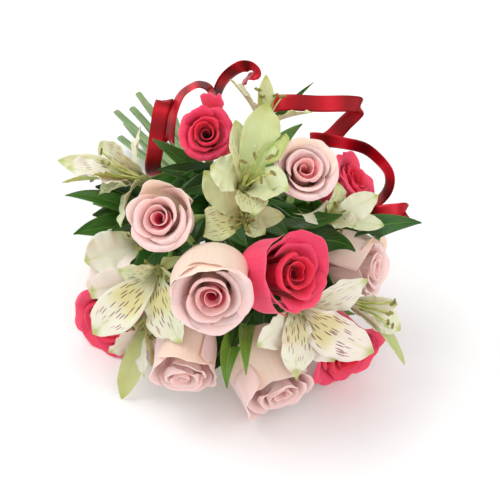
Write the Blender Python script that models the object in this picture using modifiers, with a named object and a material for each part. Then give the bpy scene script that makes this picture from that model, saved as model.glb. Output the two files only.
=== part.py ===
"""A hand-tied posy of roses and alstroemeria, lying on its side on a table.

The head is a round mound of cut flowers that looks along -Y and a little up. The bare stems run back
along +Y, cross at the binding and fan out to their slanting cut ends, which rest on the table.
Sizes are in millimetres and are turned into metres where a mesh is made. +Z is up and z = 0 is the table.
"""

import math

import bmesh
import bpy
from mathutils import Matrix, Vector

MM = 0.001

# The lie of the posy: the middle of its head, and the axis from the binding out through the head
HEAD_CENTRE = Vector((-3.0, -66.8, 76.0))
AXIS_RISE = math.radians(13.8)
AXIS = Vector((0.0, -math.cos(AXIS_RISE), math.sin(AXIS_RISE)))
BINDING_BACK = 74.0
STEM_END_BACK = 222.0

# The head is laid out as it is looked at: across to the right, up, and out towards the eye
FACE_TURN = math.radians(-20.0)
FACE_RISE = math.radians(42.0)
OUT = Vector((
    math.sin(FACE_TURN) * math.cos(FACE_RISE),
    -math.cos(FACE_TURN) * math.cos(FACE_RISE),
    math.sin(FACE_RISE),
))
ACROSS = Vector((math.cos(FACE_TURN), math.sin(FACE_TURN), 0.0))
UP = OUT.cross(ACROSS)

PETAL_THICK = 0.8
TEPAL_THICK = 0.7
LEAF_THICK = 0.7
RIBBON_THICK = 0.6
RIBBON_WIDTH = 10.0
GAP = 0.4

# A blade that comes within SETTLE of the table lies on it, and the PRESS that it sinks in is cut off level
SETTLE = 3.2
PRESS = 0.18
TABLE_SIZE = 600.0


def face_vector(across, up, out):
    """A direction given as the head is looked at."""
    return ACROSS * across + UP * up + OUT * out


def face_point(across, up, out):
    """A place in the head, from its middle, as the head is looked at."""
    return HEAD_CENTRE + face_vector(across, up, out)


def axes_along(direction, spin_degrees):
    """Two unit vectors square to a direction, turned about it."""
    n = direction.normalized()
    side = n.cross(Vector((0.0, 0.0, 1.0)))
    side = side.normalized() if side.length > 0.05 else Vector((1.0, 0.0, 0.0))
    turn = Matrix.Rotation(math.radians(spin_degrees), 3, n)
    first = turn @ side
    return first, n.cross(first), n


# Clearing the scene, and the collection that holds the posy
for old in list(bpy.data.objects):
    bpy.data.objects.remove(old, do_unlink=True)
POSY = bpy.data.collections.new("posy")
bpy.context.scene.collection.children.link(POSY)


def finish_material(name, colour, roughness):
    """A plain plant or ribbon surface."""
    material = bpy.data.materials.new(name)
    material.use_nodes = True
    shader = material.node_tree.nodes["Principled BSDF"]
    shader.inputs["Base Color"].default_value = (*colour, 1.0)
    shader.inputs["Roughness"].default_value = roughness
    material.diffuse_color = (*colour, 1.0)
    return material


PINK = finish_material("rose_pink", (0.91, 0.66, 0.62), 0.55)
RED = finish_material("rose_red", (0.80, 0.04, 0.13), 0.5)
WHITE = finish_material("alstroemeria_white", (0.88, 0.88, 0.74), 0.5)
GREEN = finish_material("leaf_green", (0.07, 0.24, 0.04), 0.45)
STEM_GREEN = finish_material("stem_green", (0.22, 0.36, 0.12), 0.5)
RIBBON_RED = finish_material("ribbon_red", (0.55, 0.01, 0.03), 0.25)


# Blades: every petal, tepal, sepal and leaf is an open grid given a thickness
def blade(name, across, along, place, thickness):
    """An open sheet whose points place(u, v) sets, u from -1 to 1 and v from 0 to 1, made solid."""
    mesh = bpy.data.meshes.new(name)
    grid = bmesh.new()
    bmesh.ops.create_grid(grid, x_segments=across, y_segments=along, size=1.0)
    bmesh.ops.triangulate(grid, faces=grid.faces[:])
    for vertex in grid.verts:
        vertex.co = place(vertex.co.x, (vertex.co.y + 1.0) / 2.0) * MM
    bmesh.ops.remove_doubles(grid, verts=grid.verts, dist=0.01 * MM)
    grid.to_mesh(mesh)
    grid.free()
    sheet = bpy.data.objects.new(name, mesh)
    bpy.context.scene.collection.objects.link(sheet)
    solid = sheet.modifiers.new("thickness", "SOLIDIFY")
    solid.thickness = thickness * MM
    solid.offset = 0.0
    return sheet


def applied(piece):
    """The piece as a plain mesh object, its modifiers or its curve worked out."""
    graph = bpy.context.evaluated_depsgraph_get()
    mesh = bpy.data.meshes.new_from_object(piece.evaluated_get(graph))
    clean = bmesh.new()
    clean.from_mesh(mesh)
    bmesh.ops.remove_doubles(clean, verts=clean.verts, dist=0.002 * MM)
    clean.to_mesh(mesh)
    clean.free()
    made = bpy.data.objects.new(piece.name, mesh)
    made.matrix_world = piece.matrix_world
    bpy.data.objects.remove(piece, do_unlink=True)
    return made


def keep_main_body(mesh):
    """Drops the loose scraps and fills the sealed pockets that a union leaves."""
    shape = bmesh.new()
    shape.from_mesh(mesh)
    bodies, seen = [], set()
    for seed in shape.verts:
        if seed in seen:
            continue
        body, front = [], [seed]
        seen.add(seed)
        while front:
            vertex = front.pop()
            body.append(vertex)
            for edge in vertex.link_edges:
                other = edge.other_vert(vertex)
                if other not in seen:
                    seen.add(other)
                    front.append(other)
        bodies.append(body)
    bodies.sort(key=len)
    for body in bodies[:-1]:
        bmesh.ops.delete(shape, geom=body, context="VERTS")
    shape.to_mesh(mesh)
    shape.free()


def pressed_flat(body):
    """The body with what reaches below the table cut off level, as a petal flattens where it lies."""
    bpy.ops.mesh.primitive_cube_add(size=TABLE_SIZE * MM, location=(0.0, 0.0, -TABLE_SIZE / 2 * MM))
    table = bpy.context.object
    table.hide_render = True
    table.display_type = "WIRE"
    cut = body.modifiers.new("table", "BOOLEAN")
    cut.operation = "DIFFERENCE"
    cut.object = table
    bpy.context.view_layer.update()
    flat = applied(body)
    POSY.objects.link(flat)
    bpy.data.objects.remove(table, do_unlink=True)
    return flat


def joined(name, core, pieces, material):
    """One body: the core with every piece joined to it by one Boolean union.

    The exact solver leaves a loose sliver where thin blades graze a stem, so the union is by the manifold one.
    """
    bin_collection = bpy.data.collections.new("pieces of " + name)
    bpy.context.scene.collection.children.link(bin_collection)
    bpy.context.view_layer.update()
    for piece in [applied(p) for p in pieces]:
        bin_collection.objects.link(piece)
    body = applied(core)
    POSY.objects.link(body)
    union = body.modifiers.new("join", "BOOLEAN")
    union.operation = "UNION"
    union.operand_type = "COLLECTION"
    union.collection = bin_collection
    union.solver = "MANIFOLD"
    bpy.context.view_layer.update()
    whole = applied(body)
    POSY.objects.link(whole)
    for piece in list(bin_collection.objects):
        bpy.data.objects.remove(piece, do_unlink=True)
    bpy.data.collections.remove(bin_collection)
    keep_main_body(whole.data)
    if min(vertex.co.z for vertex in whole.data.vertices) < 0.0:
        whole = pressed_flat(whole)
    whole.name = name
    whole.data.name = name
    whole.data.materials.clear()
    whole.data.materials.append(material)
    return whole


def cone(name, base, direction, low_radius, high_radius, length, sides):
    """A closed frustum that stands on base and points along direction."""
    mesh = bpy.data.meshes.new(name)
    shape = bmesh.new()
    bmesh.ops.create_cone(
        shape, cap_ends=True, segments=sides,
        radius1=low_radius * MM, radius2=high_radius * MM, depth=length * MM,
    )
    shape.to_mesh(mesh)
    shape.free()
    made = bpy.data.objects.new(name, mesh)
    bpy.context.scene.collection.objects.link(made)
    turn = direction.to_track_quat("Z", "Y").to_matrix().to_4x4()
    made.matrix_world = Matrix.Translation((base + direction * length / 2) * MM) @ turn
    return made


def tube(name, points, radii, sides_level=1):
    """A round rod through the points, as a curve with a bevel, in radii of its own at each point."""
    data = bpy.data.curves.new(name, "CURVE")
    data.dimensions = "3D"
    data.bevel_depth = MM
    data.bevel_resolution = sides_level
    data.use_fill_caps = True
    line = data.splines.new("POLY")
    line.points.add(len(points) - 1)
    for spot, point, radius in zip(line.points, points, radii):
        spot.co = (*(point * MM), 1.0)
        spot.radius = radius
    made = bpy.data.objects.new(name, data)
    bpy.context.scene.collection.objects.link(made)
    return made


def bezier(points, t):
    """A point on the Bezier curve of three or four control points."""
    while len(points) > 1:
        points = [a.lerp(b, t) for a, b in zip(points, points[1:])]
    return points[0]


# Roses. One bloom is a bud core with petals in rings round it, each ring a wider cup than the last.
# A ring is (petals, half angle, belly and lip as shares of the radius, height share, foot height, roll, turn,
# stagger), where the stagger lifts one edge of each petal over its neighbour, in mm
ROSE_RINGS = (
    (2, 100.0, 0.26, 0.18, 0.97, 0.18, 0.02, 20.0, 1.0),
    (3, 74.0, 0.56, 0.48, 1.00, 0.10, 0.05, 75.0, 1.3),
    (4, 58.0, 0.90, 0.93, 0.93, 0.03, 0.14, 10.0, 1.7),
)
ROSE_FOOT = 0.12
PETAL_ROWS = 3
PETAL_COLUMNS = 3

# The bud core as shares of the bloom's radius and height
CORE_LOW, CORE_TOP, CORE_HIGH = 0.30, 0.12, 0.66
CORE_SIDES = 4

# The calyx cup, and its sepals as places (distance from the axis, drop below the foot)
CALYX_LOW, CALYX_TOP, CALYX_HIGH = 2.0, 5.0, 9.0
CALYX_SIDES = 6
CALYX_SUNK = 4.0
SEPALS = 5
SEPAL_MIDDLE_DROP = 3.0
SEPAL_NOTCH, SEPAL_NOTCH_DROP = 4.6, 3.4
SEPAL_REACH, SEPAL_TIP_DROP = 0.8, 8.0

# Stems: how far one runs straight behind its flower and before the binding, and its steps down to there
STEM_RADIUS = 2.5
SPRAY_STEM_RADIUS = 2.1
STEM_LEAVE, STEM_ENTER = 20.0, 30.0
STEM_STEPS = 6


def rose_meridian(radius, height, belly, lip, top, foot_height, roll):
    """Control points (distance from the axis, height) of a petal's middle line, foot to rolled lip."""
    return [
        Vector((ROSE_FOOT * radius, foot_height * height)),
        Vector((1.16 * belly * radius, (foot_height + 0.02) * height)),
        Vector((1.06 * belly * radius, 0.62 * height)),
        Vector((lip * radius, 1.03 * top * height)),
        Vector(((lip + roll) * radius, (top - 0.4 * roll) * height)),
    ]


class Bloom:
    """Where a flower sits: its foot, its axes, and how far it reaches."""

    def __init__(self, foot, facing, spin=0.0, radius=0.0, height=0.0):
        self.foot = foot
        self.side, self.across, self.axis = axes_along(facing, spin)
        self.radius = radius
        self.height = height
        self.envelope = []
        if radius:
            belly, lip, top, foot_height, roll = ROSE_RINGS[-1][2:7]
            line = rose_meridian(radius, height, belly, lip, top, foot_height, roll)
            self.envelope = [bezier(line, step / 12) for step in range(13)]

    def point(self, distance, angle, rise):
        """A point given by its distance from the bloom's axis, its angle round it and its height."""
        round_it = self.side * math.cos(angle) + self.across * math.sin(angle)
        return self.foot + round_it * distance + self.axis * rise

    def cup_radius(self, rise):
        """How wide a rose is at a height above its foot, its outer petals' edges taken in."""
        widest = 0.0
        for near, far in zip(self.envelope, self.envelope[1:]):
            if near.y - 2.5 <= rise <= far.y + 2.5:
                widest = max(widest, near.x, far.x)
        return widest + ROSE_RINGS[-1][-1] + PETAL_THICK / 2

    def pushed_out(self, spot, clearance):
        """The spot moved clear of the rose's cup, sideways or forward, whichever is nearer."""
        local = spot - self.foot
        rise = local.dot(self.axis)
        away = local - self.axis * rise
        room = self.cup_radius(rise) + clearance - away.length
        if room <= 0.0 or rise < -1.5 or rise > self.height + clearance:
            return spot
        if self.height + clearance - rise < room:
            return spot + self.axis * (self.height + clearance - rise)
        return spot + away.normalized() * room


def rose_petal(bloom, ring, index):
    """One rose petal as a rule that places the points of its sheet."""
    count, half_angle, belly, lip, top, foot_height, roll, turn, stagger = ring
    line = rose_meridian(bloom.radius, bloom.height, belly, lip, top, foot_height, roll)
    middle = math.radians(turn + 360.0 * index / count)
    half = math.radians(half_angle)

    def place(u, v):
        if v == 0.0:
            return bloom.point(line[0].x, middle, line[0].y)
        reach = v * (1.0 - 0.17 * abs(u) ** 2.2)
        spot = bezier(line, reach)
        ahead = bezier(line, min(reach + 0.02, 1.02)) - bezier(line, reach - 0.02)
        outward = Vector((ahead.y, -ahead.x)).normalized()
        spot = spot + outward * (stagger * u)
        angle = middle + half * u * (0.55 + 0.45 * math.sqrt(v))
        return on_table(bloom.point(max(spot.x, 0.2), angle, spot.y), PETAL_THICK)

    return place


def rose_bloom(name, bloom, material):
    """The flower of a rose: petals in rings round a bud core, all one body."""
    core = cone(
        name + "_core", bloom.foot, bloom.axis,
        CORE_LOW * bloom.radius, CORE_TOP * bloom.radius, CORE_HIGH * bloom.height, CORE_SIDES,
    )
    petals = []
    for ring in ROSE_RINGS:
        for index in range(ring[0]):
            place = rose_petal(bloom, ring, index)
            petals.append(blade(name + "_petal", PETAL_COLUMNS, PETAL_ROWS, place, PETAL_THICK))
    return joined(name, core, petals, material)


def stem_route(foot, facing, slot):
    """A stem's middle line: from under its flower to the binding, and on to its cut end."""
    bound = slot_point(slot, 0.0)
    line = [foot, foot - facing * STEM_LEAVE, bound + AXIS * STEM_ENTER, bound]
    upper = [bezier(line, step / STEM_STEPS) for step in range(STEM_STEPS + 1)]
    lower = [slot_point(slot, share) for share in (0.4, 1.0)]
    return upper + lower


def slanted(stem, end, radius):
    """The stem with its cut end on a slant."""
    for vertex in stem.data.vertices:
        off = vertex.co / MM - end
        if off.length < 1.3 * radius:
            vertex.co += (AXIS * (0.8 * off.dot(Vector((0.0, 0.0, 1.0))))) * MM
    return stem


def sepal_star(name, bloom):
    """The five sepals, bent back from the calyx, as one star."""
    mesh = bpy.data.meshes.new(name)
    star = bmesh.new()
    bmesh.ops.create_circle(star, cap_ends=True, cap_tris=True, segments=2 * SEPALS, radius=1.0)
    for vertex in star.verts:
        angle = math.atan2(vertex.co.y, vertex.co.x)
        step = round(angle / (math.pi / SEPALS))
        if vertex.co.length < 0.5:
            place = bloom.foot - bloom.axis * SEPAL_MIDDLE_DROP
        elif step % 2:
            place = bloom.point(SEPAL_NOTCH, angle, -SEPAL_NOTCH_DROP)
        else:
            place = bloom.point(SEPAL_REACH * bloom.radius, angle, -SEPAL_TIP_DROP)
        vertex.co = on_table(place, LEAF_THICK) * MM
    star.to_mesh(mesh)
    star.free()
    sheet = bpy.data.objects.new(name, mesh)
    bpy.context.scene.collection.objects.link(sheet)
    solid = sheet.modifiers.new("thickness", "SOLIDIFY")
    solid.thickness = LEAF_THICK * MM
    solid.offset = 0.0
    return sheet


def rose_stem(name, bloom, slot, leaves):
    """The green of one rose: calyx, sepals bent back, and the stem with its leaves to the cut end."""
    top = bloom.foot - bloom.axis * (PETAL_THICK / 2 + GAP)
    route = stem_route(top - bloom.axis * CALYX_SUNK, bloom.axis, slot)
    stem = slanted(applied(tube(name, route, [STEM_RADIUS] * len(route))), route[-1], STEM_RADIUS)
    low = top - bloom.axis * CALYX_HIGH
    calyx = cone(name + "_calyx", low, bloom.axis, CALYX_LOW, CALYX_TOP, CALYX_HIGH, CALYX_SIDES)
    pieces = [calyx, sepal_star(name + "_sepals", bloom)]
    for row in leaves:
        pieces.append(leaf(name + "_leaf", route, *row))
    return joined(name, stem, pieces, STEM_GREEN)


# The stems pass the binding side by side in a hexagon of slots, then turn and spread like a spiral
SLOT_PITCH = 5.5
TAIL_SPREAD = 2.2
TAIL_TURN = math.radians(60.0)
BINDING = HEAD_CENTRE - AXIS * BINDING_BACK
SLOT_ACROSS, SLOT_UP = Vector((1.0, 0.0, 0.0)), AXIS.cross(Vector((1.0, 0.0, 0.0)))


def slot_offset(slot):
    """A slot's place from the middle of the bundle, across and up, from its two hexagon steps."""
    steps, rises = slot
    return complex(SLOT_PITCH * (steps + 0.5 * rises), SLOT_PITCH * rises * math.sqrt(0.75))


def slot_point(slot, share):
    """A stem's place in its slot at the binding (share 0) or on the way to its cut end (share 1)."""
    spread = (1.0 - share) + share * TAIL_SPREAD * complex(math.cos(TAIL_TURN), math.sin(TAIL_TURN))
    spot = slot_offset(slot) * spread
    back = share * (STEM_END_BACK - BINDING_BACK)
    return BINDING - AXIS * back + SLOT_ACROSS * spot.real + SLOT_UP * spot.imag


def on_table(spot, thickness):
    """The spot of a sheet's middle. Where it would pass through the table, or hang just over it, it lies on it."""
    lying = thickness / 2 - PRESS
    return Vector((spot.x, spot.y, lying if spot.z < lying + SETTLE else spot.z))


# Alstroemeria. Six tepals flare from a narrow throat: broad outer ones and slim flecked inner ones
THROAT_LOW, THROAT_TOP, THROAT_LENGTH = 2.0, 3.4, 13.0
THROAT_SIDES = 6
BROAD_RING, SLIM_RING = 2.9, 1.7
SLIM_WIDTH = 16.0
TEPAL_CUP = 0.28

# A stamen as (share of its length, radius), and how far its end leans out
STAMEN_SHAPE = ((0.1, 0.8), (0.82, 0.6), (0.9, 1.4), (1.0, 0.7))
STAMEN_LEAN = 7.0
STAMENS = 3

# A flower stalk's radii on its way from the stem to the flower
STALK_RADII = (1.4, 1.4, 1.4, 1.5, 2.4, 1.8)
STALK_LEAVE, STALK_ENTER = 5.0, 12.0

# How far a leaf's halves fold up, the share of a blade near its root that runs where it likes, and the room
# that the rest of it leaves round a rose
LEAF_FOLD = 0.35
FREE_ROOT = 0.2
ROSE_CLEARANCE = 2.0


def tepal_outline(v):
    """Half width along a tepal as a share of its greatest: a narrow claw, a broad blade, a short point."""
    if v in (0.0, 1.0):
        return 0.0
    return 0.15 * (1.0 - v) + 0.98 * math.sin(math.pi * v ** 1.5) ** 0.85


def tepal(bloom, tip, width):
    """One tepal: up the throat with the flower's axis, then over in an arch to its tip."""
    reach = (tip - bloom.foot).length
    ring = BROAD_RING if width > SLIM_WIDTH else SLIM_RING
    arrive = ((tip - bloom.foot).normalized() - bloom.axis * 0.35).normalized()
    sideways = bloom.axis.cross(tip - bloom.foot).normalized()
    root = sideways.cross(bloom.axis) * ring
    line = [
        bloom.foot + root + bloom.axis,
        bloom.foot + root * 1.4 + bloom.axis * (0.40 * reach),
        tip - arrive * (0.34 * reach),
        tip,
    ]

    def place(u, v):
        spot = bezier(line, v)
        along = bezier(line, min(v + 0.02, 1.0)) - bezier(line, v - 0.02)
        inward = sideways.cross(along).normalized() * -1.0
        half = 0.5 * width * tepal_outline(v)
        spot = spot + sideways * (half * u) + inward * (TEPAL_CUP * half * u * u)
        return on_table(clear_of_roses(spot), TEPAL_THICK) if v > FREE_ROOT else spot

    return place


def stamen(name, bloom, turn, length):
    """A thin filament with its anther, one rod that swells at the end."""
    angle = math.radians(turn)
    lean = bloom.side * math.cos(angle) + bloom.across * math.sin(angle)
    points, radii = [], []
    for share, radius in STAMEN_SHAPE:
        points.append(bloom.foot + bloom.axis * (length * share) + lean * (STAMEN_LEAN * share ** 2))
        radii.append(radius)
    return tube(name, points, radii, 0)


def alstroemeria_bloom(name, bloom, tepals, stamen_length):
    """The flower of an alstroemeria: throat, tepals and stamens as one body."""
    core = cone(name + "_throat", bloom.foot, bloom.axis, THROAT_LOW, THROAT_TOP, THROAT_LENGTH, THROAT_SIDES)
    pieces = [blade(name + "_tepal", 2, 4, tepal(bloom, tip, width), TEPAL_THICK) for tip, width in tepals]
    for index in range(STAMENS):
        pieces.append(stamen(name + "_stamen", bloom, 360.0 * index / STAMENS, stamen_length))
    return joined(name, core, pieces, WHITE)


def leaf_outline(v):
    """Half width along a leaf as a share of its greatest, widest below its middle and pointed at both ends."""
    return math.sin(math.pi * v ** 0.8) ** 0.8 if 0.0 < v < 1.0 else 0.0


def leaf(name, route, start, bend, tip, width, facing):
    """A leaf from a point down its stem, over a bend, to its tip. It is folded up a little along its midrib."""
    line = [along_route(route, start), face_point(*bend), face_point(*tip)]
    upper_side = face_vector(*facing)

    def place(u, v):
        along = (bezier(line, min(v + 0.02, 1.0)) - bezier(line, v - 0.02)).normalized()
        across = along.cross(upper_side).normalized()
        half = 0.5 * width * leaf_outline(v)
        lift = across.cross(along) * (LEAF_FOLD * half * abs(u))
        spot = bezier(line, v) + across * (half * u) + lift
        return on_table(clear_of_roses(spot), LEAF_THICK) if v > FREE_ROOT else spot

    return blade(name, 2, 4, place, LEAF_THICK)


def along_route(route, share):
    """A point part of the way down a stem, from its flower (0) to the binding (1)."""
    place = share * STEM_STEPS
    step = min(int(place), STEM_STEPS - 1)
    return route[step].lerp(route[step + 1], place - step)


def spray_greens(name, whorl, slot, blooms, leaves):
    """An alstroemeria's green: its stem, a flower stalk to each bloom, and its leaves."""
    route = stem_route(whorl, AXIS, slot)
    rod = tube(name, route, [SPRAY_STEM_RADIUS] * len(route))
    stem = slanted(applied(rod), route[-1], SPRAY_STEM_RADIUS)
    pieces = []
    for bloom in blooms:
        top = bloom.foot - bloom.axis * (2.0 * GAP)
        line = [
            whorl - AXIS * 2.0,
            whorl + (top - whorl) * 0.3 + AXIS * STALK_LEAVE,
            top - bloom.axis * STALK_ENTER,
            top,
        ]
        last = len(STALK_RADII) - 1
        points = [bezier(line, step / last) for step in range(last + 1)]
        pieces.append(tube(name + "_stalk", points, STALK_RADII, 0))
    for row in leaves:
        pieces.append(leaf(name + "_leaf", route, *row))
    return joined(name, stem, pieces, GREEN)


# The ribbon: a band round the binding, and two tails that were curled over a blade
BAND_MIDDLE = 15.4
BAND_THICK = 1.0
BAND_SIDES = 18
KNOT_LOW, KNOT_TOP, KNOT_HIGH = 6.0, 3.6, 6.5
KNOT_SIDES = 8


def ribbon_tail(name, points, width):
    """A tail along its points, each with the way that the width runs there."""
    spots = [face_point(*point) for point, _ in points]
    sides = [face_vector(*side).normalized() for _, side in points]
    last = len(spots) - 1

    def place(u, v):
        index = round(v * last)
        ahead = (spots[min(index + 1, last)] - spots[max(index - 1, 0)]).normalized()
        side = sides[index]
        side = (side - ahead * side.dot(ahead)).normalized()
        return spots[index] + side * (0.5 * width * u)

    tail = blade(name, 1, last, place, RIBBON_THICK)
    made = applied(tail)
    made.name = name
    made.data.materials.append(RIBBON_RED)
    POSY.objects.link(made)
    return made


def ribbon_band(name):
    """The band round the stems, and the knot on top of it."""
    mesh = bpy.data.meshes.new(name)
    ring = bmesh.new()
    bmesh.ops.create_cone(
        ring, cap_ends=False, segments=BAND_SIDES,
        radius1=BAND_MIDDLE * MM, radius2=BAND_MIDDLE * MM, depth=RIBBON_WIDTH * MM,
    )
    ring.to_mesh(mesh)
    ring.free()
    sheet = bpy.data.objects.new(name, mesh)
    bpy.context.scene.collection.objects.link(sheet)
    turn = AXIS.to_track_quat("Z", "Y").to_matrix().to_4x4()
    sheet.matrix_world = Matrix.Translation(BINDING * MM) @ turn
    solid = sheet.modifiers.new("thickness", "SOLIDIFY")
    solid.thickness = BAND_THICK * MM
    solid.offset = 0.0
    base = BINDING + SLOT_UP * (BAND_MIDDLE - 0.3)
    knot = cone(name + "_knot", base, SLOT_UP, KNOT_LOW, KNOT_TOP, KNOT_HIGH, KNOT_SIDES)
    return joined(name, sheet, [knot], RIBBON_RED)


# The roses: colour, middle of the mouth, the way it faces, outer radius, height, and turn about its axis
ROSES = {
    "pink_rose_left": (PINK, (-44, 17, 62), (-0.25, 0.1, 1.0), 20, 36, 0),
    "pink_rose_middle": (PINK, (-14, -28, 76), (-0.08, -0.25, 1.0), 21.5, 42, 40),
    "pink_rose_front": (PINK, (-33, -73, 24), (0.0, -0.75, 0.65), 19, 34, 80),
    "pink_rose_below": (PINK, (22, -92, 18), (0.30, -0.8, 0.5), 23, 46, 10),
    "pink_rose_right": (PINK, (39, 45, 50), (0.15, 0.25, 0.95), 19, 36, 60),
    "pink_rose_far": (PINK, (84, -12, 4), (0.95, -0.1, 0.3), 18, 34, 30),
    "red_rose_top": (RED, (-18, 66, 36), (0.0, 0.1, 1.0), 16, 34, 15),
    "red_rose_middle": (RED, (38, -14, 68), (0.12, 0.0, 1.0), 23.5, 42, 70),
    "red_rose_right": (RED, (72, 44, -2), (0.8, 0.5, 0.3), 16, 32, 0),
    "red_rose_left": (RED, (-88, -46, -30), (-0.85, -0.45, 0.3), 22, 36, 50),
    "red_rose_front": (RED, (68, -68, -3), (0.55, -0.6, 0.58), 22, 38, 20),
}

# The alstroemeria: foot, the way it faces, tepals as (tip, width), and length of its stamens
ALSTROEMERIA = {
    "alstroemeria_top": (
        (2, 33, 37), (0.3, 0.35, 0.85),
        (
            ((17, 82, 42), 22), ((-1, 72, 48), 15), ((29, 64, 44), 11),
            ((-15, 46, 48), 24), ((10, 18, 52), 19), ((29, 32, 57), 21),
        ), 34,
    ),
    "alstroemeria_upper_middle": (
        (5, 15, 26), (-0.25, 0.15, 0.95),
        (((-24, 6, 42), 22), ((-19, 44, 38), 15), ((27, 18, 38), 12), ((16, 8, 40), 12)), 18,
    ),
    "alstroemeria_left": (
        (-43, -11, 26), (-0.45, -0.45, 0.77),
        (((-85, -50, 24), 27), ((-32, -56, 34), 25), ((-68, -13, 38), 14), ((-86, -25, 20), 24)), 26,
    ),
    "alstroemeria_far_left": (
        (-53, 6, 4), (-0.7, -0.3, 0.5),
        (((-91, -8, 8), 26), ((-82, 2, -6), 20), ((-87, -30, 6), 26), ((-74, 11, 12), 12)), 22,
    ),
    "alstroemeria_right": (
        (31, -29, 26), (0.25, -0.55, 0.8),
        (
            ((78, -60, 34), 27), ((33, -74, 34), 20), ((56, -66, 24), 20),
            ((11, -56, 42), 20), ((75, -18, 32), 20),
        ), 26,
    ),
    "alstroemeria_upper_left": (
        (-52, 40, 0), (-0.9, 0.25, 0.3),
        (
            ((-103, 43, 14), 24), ((-109, 53, -6), 14), ((-84, 64, -8), 20),
            ((-99, 35, 20), 12), ((-67, 12, 20), 14),
        ), 34,
    ),
    "alstroemeria_upper_right": (
        (51, 17, 14), (0.55, 0.1, 0.8),
        (((81, 35, 18), 20), ((58, 38, 26), 13), ((33, 26, 34), 18), ((88, 11, 14), 17), ((70, 10, 30), 16)), 26,
    ),
    "alstroemeria_back": (
        (14, 65, -4), (0.15, 0.95, 0.2),
        (((-5, 101, 2), 16), ((44, 80, 12), 14), ((17, 105, -6), 10)), 30,
    ),
    "alstroemeria_below_left": (
        (-53, -38, 0), (-0.3, -0.9, 0.2),
        (((-71, -92, -11), 20), ((-58, -89, -4), 20), ((-46, -69, 14), 12), ((-78, -63, -4), 20)), 30,
    ),
    "alstroemeria_far_right": (
        (60, -30, 14), (0.9, -0.25, 0.3),
        (((97, -49, 4), 18), ((94, -33, 16), 14), ((100, -70, 2), 9), ((86, -50, 24), 14)), 34,
    ),
}

# The alstroemeria's green: where a stem divides, its blooms, and leaves as
# (start down the stem, bend, tip, width, the way the upper side faces)
SPRAYS = {
    "spray_top": (
        (-4, 34, -14),
        ("alstroemeria_top", "alstroemeria_upper_middle", "alstroemeria_upper_right", "alstroemeria_back"),
    ),
    "spray_left": (
        (-42, 8, -18),
        ("alstroemeria_left", "alstroemeria_far_left", "alstroemeria_upper_left", "alstroemeria_below_left"),
    ),
    "spray_right": (
        (26, -26, -10),
        ("alstroemeria_right", "alstroemeria_far_right"),
    ),
}

# Which slot of the bundle each stem passes through, in steps along and up the hexagon
SLOTS = {
    "pink_rose_left": (-2, 1), "pink_rose_middle": (-1, 1), "pink_rose_front": (-1, -1),
    "pink_rose_below": (1, -2), "pink_rose_right": (0, 1), "pink_rose_far": (2, -1),
    "red_rose_top": (-1, 2), "red_rose_middle": (1, 0), "red_rose_right": (1, 1),
    "red_rose_left": (0, -2), "red_rose_front": (2, -2),
    "spray_top": (0, 0), "spray_left": (-1, 0), "spray_right": (1, -1),
}

# The leaves on each stem: (start down the stem, bend, tip, width, the way the upper side faces)
LEAVES = {
    "spray_top": (
        (0.2, (-30, 50, 0), (-51, 65, 6), 12, (0.2, 0.4, 1)),
        (0.0, (12, 20, 16), (31, 5, 36), 17, (0, 0, 1)),
        (0.1, (-8, 14, 18), (6, 1, 32), 18, (0, 0, 1)),
        (0.3, (18, 80, -26), (46, 101, -12), 6, (0, 0, 1)),
    ),
    "spray_left": (
        (0.1, (-75, 34, 6), (-102, 31, 12), 11, (0, 0.3, 1)),
        (0.2, (-75, 22, -4), (-98, 14, 10), 18, (0, 0.3, 1)),
        (0.0, (-38, 34, 0), (-26, 46, 14), 16, (0, 0, 1)),
        (0.5, (-60, 26, -44), (-92, 28, -38), 16, (0, 0.5, -1)),
    ),
    "red_rose_front": ((0.5, (44, -36, -46), (74, -42, -46), 16, (0, -0.5, -1)),),
    "pink_rose_far": ((0.2, (62, 26, -6), (109, 15, 10), 16, (0, 0.3, 1)),),
    "pink_rose_right": ((0.4, (14, 60, -34), (40, 78, -36), 15, (0, 0.5, -1)),),
    "pink_rose_middle": ((0.1, (-30, -4, 30), (-27, -12, 50), 8, (0, 0, 1)),),
    "pink_rose_below": (
        (0.1, (-8, -52, 30), (-6, -80, 37), 12, (0, 0, 1)),
        (0.1, (6, -48, 28), (4, -68, 36), 8, (0, 0, 1)),
    ),
    "red_rose_middle": (
        (0.1, (50, 16, 12), (68, -2, 29), 18, (0, 0, 1)),
        (0.2, (8, -8, 14), (13, 4, 38), 14, (0, 0, 1)),
    ),
}

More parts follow.
